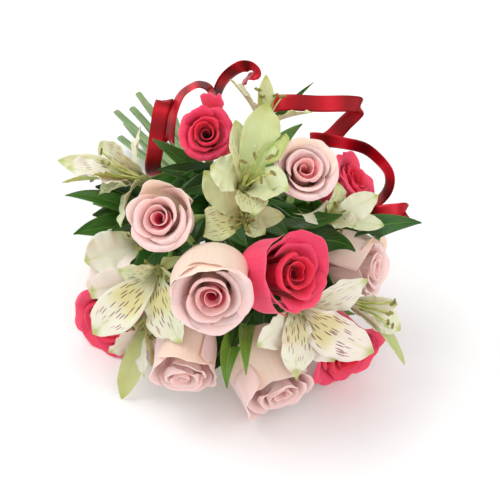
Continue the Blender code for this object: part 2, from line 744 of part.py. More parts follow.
# The ribbon's two tails from the knot: points along each, and the way its width runs there
LEFT_TAIL = (
    ((-32, 47, -51), (0.34, -0.78, 0.56)), ((-39, 45, -48), (0.34, -0.78, 0.56)),
    ((-46, 44, -43), (0.8, -0.45, 0.4)), ((-52, 46, -34), (1, 0.1, 0)), ((-53, 51, -25), (1, 0.2, 0)),
    ((-51, 60, -18), (1, 0.2, 0)), ((-49, 72, -14), (1, 0.2, 0)), ((-47, 84, -12), (1, 0.2, 0)),
    ((-45, 90, -13), (1, 0.2, 0)), ((-44, 86, -20), (1, 0.2, 0)), ((-44, 76, -22), (0.9, 0.1, 0.4)),
    ((-43, 66, -18), (0.7, 0, 0.7)), ((-40, 81, -12), (0.6, -0.1, 0.8)), ((-35, 92, -8), (0.45, -0.3, 0.83)),
    ((-29, 97, -6), (0.2, -0.5, 0.83)), ((-23, 99, -6), (0, -0.55, 0.83)), ((-17, 96, -8), (-0.3, -0.45, 0.83)),
    ((-15, 87, -14), (-0.55, 0, 0.83)), ((-14, 92, -20), (-0.55, 0, 0.83)), ((-11, 100, -18), (-0.5, 0.2, 0.83)),
    ((-6, 106, -14), (-0.4, 0.4, 0.83)), ((1, 110, -10), (0, 0.55, 0.83)), ((7, 110, -8), (0.2, 0.5, 0.83)),
    ((10, 107, -10), (0.4, 0.3, 0.83)), ((6, 104, -16), (0.5, 0.2, 0.8)), ((2, 101, -20), (0.5, 0.2, 0.8)),
)
RIGHT_TAIL = (
    ((-20, 50, -54), (-0.34, 0.78, -0.56)), ((-14, 51, -51), (-0.3, 0.85, -0.4)), ((-8, 55, -45), (-0.2, 0.9, -0.2)),
    ((-2, 62, -38), (0, 1, 0)), ((12, 79, -22), (0, 1, 0)), ((21, 87, -10), (0, 1, 0)), ((31, 88, -6), (0, 1, 0)),
    ((49, 87, -4), (0, 1, 0)), ((68, 87, -4), (0, 1, 0)), ((74, 85, -6), (0, 1, 0)), ((65, 76, -12), (0, 1, 0)),
    ((56, 67, -14), (0, 1, 0)), ((47, 64, -12), (0, 1, 0)), ((44, 65, -8), (0, 1, 0.1)), ((52, 65, -4), (0, 0.8, 0.6)),
    ((64, 63, -2), (0, 0.65, 0.76)), ((76, 60, -2), (0.15, 0.6, 0.8)), ((85, 53, -2), (0.35, 0.4, 0.85)),
    ((91, 45, -4), (0.45, 0.15, 0.88)), ((91, 36, -8), (0.45, -0.1, 0.88)), ((85, 28, -14), (0.35, -0.4, 0.85)),
    ((75, 23, -16), (0.1, -0.8, 0.6)), ((75, 18, -12), (0, -1, 0.2)), ((86, 21, -6), (0, -1, 0)),
    ((96, 22, -4), (0, -1, 0)), ((101, 22, -4), (0, -1, 0)), ((95, 16, -8), (0, -1, 0)),
)


def bloom_at(mouth, facing, radius, height, spin):
    """A rose placed by its mouth."""
    axis = face_vector(*facing).normalized()
    return Bloom(face_point(*mouth) - axis * height, axis, spin, radius, height)


ROSE_BLOOMS = {name: bloom_at(row[1], row[2], row[3], row[4], row[5]) for name, row in ROSES.items()}


def clear_of_roses(spot):
    """The spot, moved out of every rose that it would stand in."""
    for bloom in ROSE_BLOOMS.values():
        spot = bloom.pushed_out(spot, ROSE_CLEARANCE)
    return spot


def build():
    """The whole posy."""
    for name, bloom in ROSE_BLOOMS.items():
        rose_bloom(name, bloom, ROSES[name][0])
        rose_stem(name + "_stem", bloom, SLOTS[name], LEAVES.get(name, ()))
    alstroemeria = {}
    for name, (foot, facing, tepals, stamen_length) in ALSTROEMERIA.items():
        bloom = Bloom(face_point(*foot), face_vector(*facing))
        alstroemeria[name] = bloom
        tips = [(face_point(*tip), width) for tip, width in tepals]
        alstroemeria_bloom(name, bloom, tips, stamen_length)
    for name, (whorl, carried) in SPRAYS.items():
        blooms = [alstroemeria[bloom] for bloom in carried]
        spray_greens(name, face_point(*whorl), SLOTS[name], blooms, LEAVES.get(name, ()))
    ribbon_band("ribbon_band")
    ribbon_tail("ribbon_tail_left", LEFT_TAIL, RIBBON_WIDTH)
    ribbon_tail("ribbon_tail_right", RIGHT_TAIL, RIBBON_WIDTH)


build()
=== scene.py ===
"""The looks of a hand-tied posy of roses and alstroemeria that lies on its side on a pale table."""

import math
import random

import bpy
import numpy as np
from mathutils import Matrix, Vector


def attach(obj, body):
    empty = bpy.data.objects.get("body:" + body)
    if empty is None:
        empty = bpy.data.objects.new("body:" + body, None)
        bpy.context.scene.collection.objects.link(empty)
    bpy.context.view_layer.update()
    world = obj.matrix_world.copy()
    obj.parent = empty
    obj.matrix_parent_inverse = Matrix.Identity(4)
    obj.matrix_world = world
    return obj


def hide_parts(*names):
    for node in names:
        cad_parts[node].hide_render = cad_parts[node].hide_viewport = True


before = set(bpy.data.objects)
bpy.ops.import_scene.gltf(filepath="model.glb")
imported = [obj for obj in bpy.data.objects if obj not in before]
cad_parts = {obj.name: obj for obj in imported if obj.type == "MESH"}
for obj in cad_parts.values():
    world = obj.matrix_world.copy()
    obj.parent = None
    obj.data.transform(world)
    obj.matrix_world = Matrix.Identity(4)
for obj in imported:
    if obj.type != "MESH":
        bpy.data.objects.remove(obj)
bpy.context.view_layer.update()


# The roses. Each is a half-open garden rose: some twenty thin petals that unroll in a spiral from a tight
# heart, the outer ones wide cups whose lips roll back. The flowers are set by the middle of their mouths,
# in millimetres across, up and out as the head of the posy is looked at.
MM = 0.001
HEAD_CENTRE = Vector((-3.0, -66.8, 76.0))
FACE_TURN = math.radians(-20.0)
FACE_RISE = math.radians(42.0)
OUT = Vector((
    math.sin(FACE_TURN) * math.cos(FACE_RISE),
    -math.cos(FACE_TURN) * math.cos(FACE_RISE),
    math.sin(FACE_RISE),
))
ACROSS = Vector((math.cos(FACE_TURN), math.sin(FACE_TURN), 0.0))
UP = OUT.cross(ACROSS)


def face_vector(across, up, out):
    """A direction given as the head is looked at."""
    return ACROSS * across + UP * up + OUT * out


def face_point(across, up, out):
    """A place in the head, from its middle, as the head is looked at."""
    return HEAD_CENTRE + face_vector(across, up, out)


def bezier(points, t):
    """A point on the Bezier curve of its control points."""
    while len(points) > 1:
        points = [a.lerp(b, t) for a, b in zip(points, points[1:])]
    return points[0]


def smooth_steps(values, share):
    """A value read from evenly spaced ones, with smooth changes between them."""
    place = min(max(share, 0.0), 1.0) * (len(values) - 1)
    step = min(int(place), len(values) - 2)
    part = place - step
    part = part * part * (3.0 - 2.0 * part)
    return values[step] + (values[step + 1] - values[step]) * part


class Ripple:
    """A gentle wave of its own for one petal or leaf, from -1 to 1."""

    def __init__(self, draw):
        self.phases = [draw.uniform(0.0, 2.0 * math.pi) for _ in range(4)]

    def at(self, u, pitch=1.0):
        a, b, c, d = self.phases
        wave = 0.55 * math.sin(2.3 * pitch * u + a) + 0.3 * math.sin(5.1 * pitch * u + b)
        return wave + 0.15 * math.sin(9.7 * pitch * u + c) * math.cos(3.0 * u + d)


class Growth:
    """One piece of the posy as it is put together, with what its finishes read at each point."""

    MARKS = ("across", "along", "outer_side", "depth", "tone", "chance")

    def __init__(self):
        self.points, self.faces, self.face_finish = [], [], []
        self.marks = {name: [] for name in self.MARKS}

    def take(self, points, faces, finish, **marks):
        start = sum(len(block) for block in self.points)
        self.points.append(np.asarray(points, float).reshape(-1, 3))
        self.faces += [tuple(start + corner for corner in face) for face in faces]
        self.face_finish += [finish] * len(faces)
        for name in self.MARKS:
            value = np.asarray(marks.get(name, 0.0), float)
            self.marks[name].append(np.broadcast_to(value, len(self.points[-1])))

    def blade(self, sheet, thickness, finish=0, depth=0.0, tone=0.0, chance=0.0, round_loop=False):
        """A thin closed blade on a grid of points, thinner towards its rim."""
        points = np.array([[tuple(spot) for spot in row] for row in sheet])
        rows, columns = points.shape[:2]
        normal = np.cross(np.gradient(points, axis=1), np.gradient(points, axis=0))
        normal /= np.maximum(np.linalg.norm(normal, axis=2, keepdims=True), 1e-9)
        u = np.broadcast_to(np.linspace(-1.0, 1.0, columns)[None, :], (rows, columns))
        v = np.broadcast_to(np.linspace(0.0, 1.0, rows)[:, None], (rows, columns))
        half = 0.5 * thickness * (0.35 + 0.65 * (1.0 - np.abs(u) ** 6) * (1.0 - v ** 10))
        outside = points + normal * half[:, :, None]
        inside = points - normal * half[:, :, None]
        count = rows * columns
        faces = []
        for row in range(rows - 1):
            for column in range(columns - 1):
                a = row * columns + column
                faces.append((a, a + 1, a + columns + 1, a + columns))
                b = a + count
                faces.append((b, b + columns, b + columns + 1, b + 1))
        for row in range(rows - 1):
            a, b = row * columns, (row + 1) * columns
            faces.append((a, b, b + count, a + count))
            a, b = a + columns - 1, b + columns - 1
            faces.append((a, a + count, b + count, b))
        for column in range(columns - 1):
            a, b = column, column + 1
            faces.append((a, a + count, b + count, b))
            a, b = a + (rows - 1) * columns, b + (rows - 1) * columns
            faces.append((a, b, b + count, a + count))
        self.take(
            np.concatenate([outside.reshape(-1, 3), inside.reshape(-1, 3)]), faces, finish,
            across=np.tile(u.ravel(), 2), along=np.tile(v.ravel(), 2),
            outer_side=np.repeat([1.0, 0.0], count), depth=depth, tone=tone, chance=chance,
        )

    def rod(self, route, radii, sides=12, finish=0, cut_finish=None, depth=0.0, tone=0.0, chance=0.0, squash=1.0):
        """A round rod along a route, closed at both ends."""
        spots = [Vector(spot) for spot in route]
        last = len(spots) - 1
        ahead = (spots[1] - spots[0]).normalized()
        side = ahead.orthogonal().normalized()
        points = []
        for index, (spot, radius) in enumerate(zip(spots, radii)):
            heading = (spots[min(index + 1, last)] - spots[max(index - 1, 0)]).normalized()
            side = (ahead.rotation_difference(heading) @ side).normalized()
            ahead = heading
            other = ahead.cross(side)
            for step in range(sides):
                angle = 2.0 * math.pi * step / sides
                points.append(spot + side * (radius * math.cos(angle)) + other * (squash * radius * math.sin(angle)))
        faces = []
        for ring in range(last):
            for step in range(sides):
                a, b = ring * sides + step, ring * sides + (step + 1) % sides
                faces.append((a, b, b + sides, a + sides))
        along = np.repeat(np.linspace(0.0, 1.0, last + 1), sides)
        across = np.tile(np.linspace(-1.0, 1.0, sides, endpoint=False), last + 1)
        self.take(
            [tuple(point) for point in points], faces, finish,
            across=across, along=along, outer_side=1.0, depth=depth, tone=tone, chance=chance,
        )
        start = sum(len(block) for block in self.points) - len(points)
        ends = [tuple(start + step for step in reversed(range(sides)))]
        ends.append(tuple(start + last * sides + step for step in range(sides)))
        self.faces += ends
        self.face_finish += [finish, finish if cut_finish is None else cut_finish]

    def stands_for(self, node, finishes):
        """Makes the piece, in place of the solid of its name."""
        mesh = bpy.data.meshes.new(node + "_fine")
        mesh.from_pydata((np.concatenate(self.points) * MM).tolist(), [], self.faces)
        for name in self.MARKS:
            mark = mesh.attributes.new(name, "FLOAT", "POINT")
            mark.data.foreach_set("value", np.concatenate(self.marks[name]).astype(np.float32))
        for finish in finishes:
            mesh.materials.append(finish)
        mesh.polygons.foreach_set("material_index", self.face_finish)
        mesh.polygons.foreach_set("use_smooth", [True] * len(mesh.polygons))
        piece = bpy.data.objects.new(node + "_fine", mesh)
        bpy.context.scene.collection.objects.link(piece)
        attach(piece, "root")
        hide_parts(node)
        return piece


# How a petal's middle line climbs from foot to lip, in degrees above level: a petal of the heart, a petal of
# the cup, and an outer one, with how far a lip that rolls back turns away from that
HEART_CLIMB = (72.0, 86.0, 90.0, 92.0, 84.0, 48.0)
CUP_CLIMB = (14.0, 62.0, 86.0, 92.0, 84.0, 54.0)
OUTER_CLIMB = (0.0, 45.0, 82.0, 96.0, 98.0, 90.0)
LIP_ROLL = (0.0, 2.0, 8.0, 30.0, 78.0, 150.0)

# Petals of the spiral from the heart (first) outwards, as shares of the rose's radius and height
LIP_SHARE = (0.06, 0.12, 0.20, 0.30, 0.42, 0.55, 0.70, 0.86)
TOP_SHARE = (0.90, 0.93, 0.97, 1.00, 1.01, 1.01, 0.99, 0.96)
HALF_ANGLE = (150.0, 136.0, 120.0, 106.0, 96.0, 88.0, 80.0, 72.0)
PETAL_TURN = 137.5
PETAL_THICK = 0.42
PETAL_LINE_STEPS = 28


class Bloom:
    """Where a flower sits: its foot, its axes, and how far it reaches."""

    def __init__(self, foot, facing, spin=0.0, radius=0.0, height=0.0):
        self.foot = foot
        self.axis = facing.normalized()
        side = self.axis.cross(Vector((0.0, 0.0, 1.0))).normalized()
        self.side = Matrix.Rotation(math.radians(spin), 3, self.axis) @ side
        self.across = self.axis.cross(self.side)
        self.radius, self.height = radius, height

    def point(self, distance, angle, rise):
        """A point given by its distance from the bloom's axis, its angle round it and its height."""
        round_it = self.side * math.cos(angle) + self.across * math.sin(angle)
        return self.foot + round_it * distance + self.axis * rise

    def clock(self, degrees):
        """The angle round the bloom that points to a place on the clock face of the photograph."""
        way = face_vector(math.sin(math.radians(degrees)), math.cos(math.radians(degrees)), 0.0)
        return math.atan2(way.dot(self.across), way.dot(self.side))

    def pushed_out(self, spot, clearance):
        """The spot moved clear of a rose's cup, sideways or forward, whichever is nearer."""
        local = spot - self.foot
        rise = local.dot(self.axis)
        if rise < -1.5 or rise > self.height + clearance:
            return spot
        away = local - self.axis * rise
        share = max(rise, 0.0) / self.height
        wide = self.radius * smooth_steps((0.22, 0.84, 0.95, 0.96, 1.03, 1.08), share) + 2.0
        room = wide + clearance - away.length
        if room <= 0.0:
            return spot
        if self.height + clearance - rise < room:
            return spot + self.axis * (self.height + clearance - rise)
        return spot + away.normalized() * room


def on_table(spot, lift=0.25):
    """The spot, lifted where it would pass through the table."""
    return Vector((spot.x, spot.y, max(spot.z, lift)))


def petal_sheet(bloom, age, middle, ripple, ruffle, shape):
    """The points of one rose petal. Age runs from 0 in the heart to 1 outermost, and the shape gives its reach,
    height, half angle, how far its lip rolls back and how pointed it is."""
    reach, top, half, roll, point = shape
    reach, top, half = reach * bloom.radius, top * bloom.height, math.radians(half)
    root = min(0.8 * reach, 0.14 * bloom.radius)
    columns, rows, steps = 24, 20, PETAL_LINE_STEPS

    def climb(share, u):
        """The way of the petal's line at a share of its length."""
        opened = max(age - 0.5, 0.0) / 0.5
        if age < 0.5:
            way = smooth_steps(HEART_CLIMB, share) * (1.0 - 2.0 * age) + smooth_steps(CUP_CLIMB, share) * 2.0 * age
        else:
            way = smooth_steps(CUP_CLIMB, share) * (1.0 - opened) + smooth_steps(OUTER_CLIMB, share) * opened
        rolled = max(share - 0.6, 0.0) / 0.4
        back = age * (26.0 * abs(u) ** 1.5 + 10.0 * ripple.at(2.0 * u)) * rolled ** 1.5
        turned = min(max(age - 0.15, 0.0) / 0.45, 1.0)
        return math.radians(way - back - roll * turned * smooth_steps(LIP_ROLL, share))

    def line(u):
        """Distance from the axis and height along the petal's line, for a length of one."""
        spots = [(0.0, 0.0)]
        for step in range(steps):
            way = climb((step + 0.5) / steps, u)
            spots.append((spots[-1][0] + math.cos(way) / steps, spots[-1][1] + math.sin(way) / steps))
        return spots

    middle_line = line(0.0)
    tall = top / max(spot[1] for spot in middle_line)
    wide = (reach - root) / max(spot[0] for spot in middle_line) if age > 0.18 else tall
    sheet = [[None] * (columns + 1) for _ in range(rows + 1)]
    for column in range(columns + 1):
        u = 2.0 * column / columns - 1.0
        spots = line(u)
        shoulder = 1.0 - 0.10 * abs(u) ** 3 - 0.20 * point * abs(u) ** 1.3
        shoulder -= 0.012 * ruffle * (1.0 + ripple.at(u, 3.0))
        for row in range(rows + 1):
            v = math.sin(0.5 * math.pi * row / rows)
            place = v * shoulder * steps
            step = min(int(place), steps - 1)
            part = place - step
            r = spots[step][0] + (spots[step + 1][0] - spots[step][0]) * part
            z = spots[step][1] + (spots[step + 1][1] - spots[step][1]) * part
            wave = ruffle * ripple.at(1.6 * u + 0.8 * v, 1.2) * v ** 4 * age
            distance = root + r * wide + 0.04 * bloom.radius * (u + wave)
            angle = middle + half * u * (0.5 + 0.5 * math.sqrt(v)) + 0.03 * wave
            rise = z * tall + 0.02 * bloom.height * wave
            sheet[row][column] = on_table(bloom.point(max(distance, 0.25), angle, rise))
    return sheet


def rose(node, bloom, slot, finish, petals, pale, ruffle, outer, seed):
    """The flower of a rose: its spiral of petals, then outer ones that are placed one by one. Pale says how
    much of the heart's deep colour it lacks."""
    draw = random.Random(seed)
    growth = Growth()
    for index in range(petals):
        age = index / (petals - 1)
        shape = (
            smooth_steps(LIP_SHARE, age) * draw.uniform(0.95, 1.06),
            smooth_steps(TOP_SHARE, age) * draw.uniform(0.98, 1.01),
            smooth_steps(HALF_ANGLE, age), draw.uniform(0.6, 1.0), draw.uniform(0.1, 0.8),
        )
        turn = PETAL_TURN * index + draw.uniform(-14.0, 14.0)
        sheet = petal_sheet(bloom, age, math.radians(turn), Ripple(draw), ruffle, shape)
        growth.blade(sheet, PETAL_THICK, depth=pale + (1.0 - pale) * age, tone=0.5, chance=draw.random())
    for clock, *shape in outer:
        sheet = petal_sheet(bloom, 1.0, bloom.clock(clock), Ripple(draw), ruffle, shape)
        # Painted light: how much sunlit colour the outer petal takes, most at the top of the view and none in its
        # lower half.
        cream = 0.5 + 0.5 * math.cos(math.radians(clock))
        growth.blade(sheet, PETAL_THICK, depth=1.0, tone=cream, chance=draw.random())
    return growth.stands_for(node, [finish])


class Value:
    """A socket's value in a material. Arithmetic on it adds Math nodes."""

    def __init__(self, finish, socket):
        self.finish, self.socket = finish, socket

    def maths(self, operation, *others):
        return self.finish.node("ShaderNodeMath", {"operation": operation}, dict(enumerate((self, *others))))

    def __add__(self, other):
        return self.maths("ADD", other)

    def __sub__(self, other):
        return self.maths("SUBTRACT", other)

    def __mul__(self, other):
        return self.maths("MULTIPLY", other)

    def __truediv__(self, other):
        return self.maths("DIVIDE", other)

    def __pow__(self, other):
        return self.maths("POWER", other)

    def __radd__(self, other):
        return self + other

    def __rmul__(self, other):
        return self * other

    def __rsub__(self, other):
        return self.finish.node("ShaderNodeMath", {"operation": "SUBTRACT"}, {0: other, 1: self})

    def __abs__(self):
        return self.maths("ABSOLUTE")


class Finish:
    """A material in the making."""

    def __init__(self, name, roughness=0.5, **constants):
        self.material = bpy.data.materials.new(name)
        self.material.use_nodes = True
        self.tree = self.material.node_tree
        self.shader = self.tree.nodes["Principled BSDF"]
        self.shader.inputs["Roughness"].default_value = roughness
        for key, value in constants.items():
            self.shader.inputs[key.replace("_", " ")].default_value = value

    def node(self, kind, settings, inputs, output=0):
        """A node with its settings, and the values or links of its sockets."""
        made = self.tree.nodes.new(kind)
        for key, value in settings.items():
            if key == "stops":
                stops = made.color_ramp.elements
                stops.remove(stops[-1])
                stops[0].position, stops[0].color = value[0]
                for place, colour in value[1:]:
                    stops.new(place).color = colour
            else:
                setattr(made, key, value)
        for key, value in inputs.items():
            if isinstance(value, Value):
                self.tree.links.new(value.socket, made.inputs[key])
            else:
                made.inputs[key].default_value = value
        return Value(self, made.outputs[output])

    def mark(self, name):
        """What the growth noted at each point under this name."""
        return self.node("ShaderNodeAttribute", {"attribute_name": name}, {}, "Fac")

    def between(self, value, low, high):
        """0 below low, 1 above high, and smooth between them."""
        return self.node(
            "ShaderNodeMapRange", {"interpolation_type": "SMOOTHSTEP"},
            {"Value": value, "From Min": low, "From Max": high},
        )

    def mix(self, factor, first, second, blend="MIX"):
        """One colour laid over another."""
        settings = {"data_type": "RGBA", "blend_type": blend}
        return self.node("ShaderNodeMix", settings, {0: factor, 6: first, 7: second}, 2)

    def noise(self, scale, detail=2.0, vector=None):
        """Soft uneven grey, in the posy's own space unless told otherwise."""
        inputs = {"Scale": scale, "Detail": detail}
        inputs["Vector"] = vector or self.node("ShaderNodeTexCoord", {}, {}, "Object")
        return self.node("ShaderNodeTexNoise", {}, inputs)

    def spot(self, x, y, z=0.0):
        """A place made of three values."""
        return self.node("ShaderNodeCombineXYZ", {}, {0: x, 1: y, 2: z})

    def bump(self, height, distance, strength=1.0):
        """Relief on the surface, in metres."""
        relief = self.node(
            "ShaderNodeBump", {}, {"Height": height, "Distance": distance, "Strength": strength}
        )
        self.tree.links.new(relief.socket, self.shader.inputs["Normal"])

    def wear(self, **values):
        """Sets what changes over the surface."""
        for key, value in values.items():
            self.tree.links.new(value.socket, self.shader.inputs[key.replace("_", " ")])
        return self.material


def tint(red, green, blue):
    """A colour as the eye counts it, from 0 to 255."""
    parts = [part / 255.0 for part in (red, green, blue)]
    return (*[part / 12.92 if part <= 0.04045 else ((part + 0.055) / 1.055) ** 2.4 for part in parts], 1.0)


def petal_finish(name, stops, root, rim, shade, sunlit):
    """Rose petal: deep in the heart, pale outside, with fine veins that fan out to the lip, and a painted sunlit
    colour on the outer petals at the top of the view, where the lamp lights them.
    """
    finish = Finish(
        name, 0.52, Subsurface_Weight=0.4, Subsurface_Scale=0.004, Subsurface_Radius=(1.0, 0.7, 0.6),
        Sheen_Weight=0.15, Sheen_Roughness=0.4, Specular_IOR_Level=0.35,
    )
    across, along, age = finish.mark("across"), finish.mark("along"), finish.mark("depth")
    outside, chance = finish.mark("outer_side"), finish.mark("chance")
    mottle = finish.noise(55.0, 3.0)
    age_read = age + (mottle - 0.5) * 0.22 + (chance - 0.5) * 0.10 - (1.0 - outside) * 0.10
    colour = finish.node("ShaderNodeValToRGB", {"stops": stops}, {"Fac": age_read})
    # Painted light: outer petals near the top of the view take the sunlit colour, as if lit from there.
    colour = finish.mix(finish.between(finish.mark("tone") * age, 0.5, 1.1) * 0.8, colour, sunlit)
    fan = finish.spot(across * 16.0 + chance * 40.0, along * 1.6, chance * 9.0)
    veins = finish.noise(1.0, 4.0, fan)
    colour = finish.mix(finish.between(veins, 0.42, 0.72) * 0.14, colour, shade)
    low = (1.0 - finish.between(along, 0.03, 0.3)) * 0.7
    colour = finish.mix(low, colour, root)
    edge = finish.between(along, 0.84, 1.0) * 0.4 + finish.between(abs(across), 0.9, 1.0) * 0.2
    colour = finish.mix(edge, colour, rim)
    finish.bump(veins, 0.0002, 0.35)
    rough = 0.48 + veins * 0.16
    return finish.wear(Base_Color=colour, Roughness=rough)


PINK_PETAL = petal_finish(
    "pink rose petal",
    (
        (0.0, tint(224, 44, 82)), (0.12, tint(246, 106, 128)), (0.28, tint(251, 158, 162)),
        (0.50, tint(251, 182, 176)), (0.75, tint(251, 204, 198)), (1.0, tint(251, 212, 206)),
    ),
    tint(240, 218, 170), tint(252, 220, 210), tint(247, 170, 164), tint(246, 214, 184),
)

# Middle of the mouth, the way it faces, outer radius, height, turn about its axis, petals in the spiral, how
# pale the heart is, and outer petals as (clock face, reach, height, half angle, roll of the lip, point)
PINK_ROSES = {
    "pink_rose_left": (
        (-44, 17, 62), (-0.25, 0.1, 1.0), 19.5, 36, 0, 10, 0.06,
        ((200, 1.00, 0.93, 62, 0.8, 0.2), (290, 1.00, 0.95, 66, 0.5, 1.0), (140, 1.06, 0.9, 66, 0.7, 0.4),
         (62, 1.04, 0.98, 66, 0.3, 0.9), (352, 1.08, 1.02, 60, 0.12, 1.6)),
    ),
    "pink_rose_middle": (
        (-14, -28, 76), (-0.06, -0.36, 1.0), 21.5, 42, 40, 10, 0.08,
        ((30, 1.00, 1.06, 70, 0.15, 0.2), (350, 1.10, 1.18, 78, -0.02, 0.3), (304, 1.04, 1.10, 62, 0.1, 0.4),
         (256, 1.02, 0.99, 66, 0.5, 0.1), (122, 1.00, 0.92, 60, 0.8, 0.2), (190, 1.04, 0.92, 78, 0.7, 0.0),
         (76, 1.12, 1.02, 46, 0.9, 0.3)),
    ),
    "pink_rose_front": (
        (-32, -77, 26), (-0.05, -0.84, 0.54), 18, 38, 80, 10, 0.8,
        ((180, 1.06, 0.95, 76, 0.4, 0.2), (268, 1.10, 1.0, 62, 0.1, 0.3), (98, 1.10, 0.98, 62, 0.1, 0.3),
         (10, 1.06, 0.92, 62, 0.1, 0.1)),
    ),
    "pink_rose_below": (
        (26, -88, 19), (0.34, -0.78, 0.52), 20.5, 46, 10, 10, 0.8,
        ((150, 1.04, 0.92, 66, 0.5, 0.2), (80, 1.06, 0.96, 60, 0.4, 0.2), (212, 1.02, 0.95, 66, 0.4, 0.2),
         (266, 1.20, 1.06, 62, 0.02, 0.1), (338, 1.24, 0.93, 80, -0.12, 0.0)),
    ),
    "pink_rose_right": (
        (39, 45, 50), (0.15, 0.25, 0.95), 18.5, 36, 60, 10, 0.2,
        ((260, 1.00, 0.95, 66, 0.7, 0.1), (182, 1.00, 0.94, 64, 0.8, 0.0), (48, 1.04, 0.98, 60, 0.6, 0.3),
         (112, 1.06, 0.93, 60, 0.9, 0.2), (340, 1.0, 1.0, 64, 0.6, 0.4)),
    ),
    "pink_rose_far": (
        (84, -12, 4), (0.9, -0.1, 0.45), 18, 34, 30, 10, 0.75,
        ((20, 1.16, 1.0, 66, 0.2, 0.2), (95, 1.00, 1.0, 60, 0.6, 0.2), (170, 1.02, 0.95, 62, 0.5, 0.2),
         (240, 1.10, 0.96, 60, 0.2, 0.2), (315, 1.26, 0.98, 70, -0.1, 0.2)),
    ),
}
ROSE_BLOOMS = {}


def rose_bloom(node, row):
    """A rose set by the middle of its mouth."""
    mouth, facing, radius, height, spin = row[:5]
    axis = face_vector(*facing).normalized()
    ROSE_BLOOMS[node] = Bloom(face_point(*mouth) - axis * height, axis, spin, radius, height)
    return ROSE_BLOOMS[node]


for seed, (node, row) in enumerate(PINK_ROSES.items()):
    rose(node, rose_bloom(node, row), "rose_pink", PINK_PETAL, *row[5:7], 0.7, row[7], 11 + seed)


# The red roses, of the same make. Their petals are crimson with a velvet bloom, pinker on the outside where
# the light takes them, and more ruffled, with ragged lips.
RED_PETAL = petal_finish(
    "red rose petal",
    (
        (0.0, tint(150, 2, 28)), (0.2, tint(212, 10, 40)), (0.42, tint(234, 24, 54)),
        (0.7, tint(244, 46, 82)), (1.0, tint(248, 64, 104)),
    ),
    tint(226, 56, 84), tint(244, 74, 114), tint(186, 10, 42), tint(232, 40, 84),
)
RED_ROSES = {
    "red_rose_top": (
        (-18, 66, 36), (0.0, 0.1, 1.0), 16, 34, 15, 10,
        ((12, 1.46, 1.06, 20, 0.3, 0.0), (205, 1.00, 0.92, 60, 1.0, 0.2), (285, 1.02, 0.94, 58, 1.1, 0.4),
         (62, 1.06, 0.96, 56, 1.1, 0.4), (132, 1.04, 0.93, 60, 1.1, 0.3), (338, 1.0, 1.0, 44, 0.9, 0.3)),
    ),
    "red_rose_middle": (
        (34, -14, 68), (0.52, 0.04, 0.85), 21.5, 42, 70, 10,
        ((340, 1.00, 1.0, 60, 0.3, 0.3), (215, 1.02, 0.98, 60, 0.3, 0.4), (105, 0.98, 0.96, 54, 0.9, 0.3),
         (162, 1.04, 0.94, 50, 0.9, 0.4), (238, 1.00, 0.98, 64, 0.3, 0.3), (268, 1.02, 1.0, 80, 0.06, 0.1), (38, 1.18, 1.02, 62, 0.9, 0.3)),
    ),
    "red_rose_right": (
        (72, 42, -2), (0.7, 0.45, 0.5), 17.5, 32, 0, 12,
        ((10, 1.10, 1.05, 46, 0.9, 0.6), (80, 1.06, 1.0, 58, 1.0, 0.4), (150, 1.00, 0.96, 60, 0.8, 0.3),
         (230, 1.00, 1.0, 60, 0.8, 0.3), (300, 1.08, 1.02, 52, 0.9, 0.6)),
    ),
    "red_rose_left": (
        (-84, -48, -28), (-0.55, -0.45, 0.7), 23.5, 36, 50, 12,
        ((0, 1.08, 1.0, 60, 0.9, 0.4), (70, 1.04, 1.0, 60, 0.8, 0.3), (145, 1.04, 0.96, 62, 0.9, 0.4),
         (215, 1.06, 1.0, 62, 0.9, 0.4), (290, 1.10, 1.0, 60, 0.9, 0.3)),
    ),
    "red_rose_front": (
        (67, -67, -2), (0.45, -0.66, 0.6), 23.5, 38, 20, 12,
        ((190, 1.06, 0.96, 62, 0.9, 0.5), (120, 1.06, 0.96, 58, 1.0, 0.5), (262, 1.06, 1.0, 60, 0.7, 0.3),
         (55, 1.08, 1.02, 60, 0.6, 0.3), (345, 1.06, 1.0, 64, 0.4, 0.2)),
    ),
}
for seed, (node, row) in enumerate(RED_ROSES.items()):
    rose(node, rose_bloom(node, row), "rose_red", RED_PETAL, row[5], 0.0, 1.5, row[6], 31 + seed)


# The rose stems. Under each flower is a green cup, the calyx, with five sepals bent back from it, and a round
# stem that runs to the binding, crosses the others there and goes on to its slanting cut end. A few carry
# leaves: dark, glossy and folded up a little along the midrib.
AXIS_RISE = math.radians(13.8)
AXIS = Vector((0.0, -math.cos(AXIS_RISE), math.sin(AXIS_RISE)))
BINDING_BACK = 74.0
STEM_END_BACK = 222.0
BINDING = HEAD_CENTRE - AXIS * BINDING_BACK
SLOT_UP = AXIS.cross(Vector((1.0, 0.0, 0.0)))
SLOT_PITCH = 5.5
TAIL_SPREAD = 2.2
TAIL_TURN = math.radians(60.0)
STEM_RADIUS = 2.5
STEM_LEAVE, STEM_ENTER = 20.0, 30.0
STEM_BOW = 1.6
SEPALS = 5
LEAF_THICK = 0.4
LEAF_FOLD = 0.35
YOUNG_LEAF_WIDTH = 13

# Which slot of the bundle each stem passes through, in steps along and up the hexagon
SLOTS = {
    "pink_rose_left": (-2, 1), "pink_rose_middle": (-1, 1), "pink_rose_front": (-1, -1),
    "pink_rose_below": (1, -2), "pink_rose_right": (0, 1), "pink_rose_far": (2, -1),
    "red_rose_top": (-1, 2), "red_rose_middle": (1, 0), "red_rose_right": (1, 1),
    "red_rose_left": (0, -2), "red_rose_front": (2, -2),
    "spray_top": (0, 0), "spray_left": (-1, 0), "spray_right": (1, -1),
}

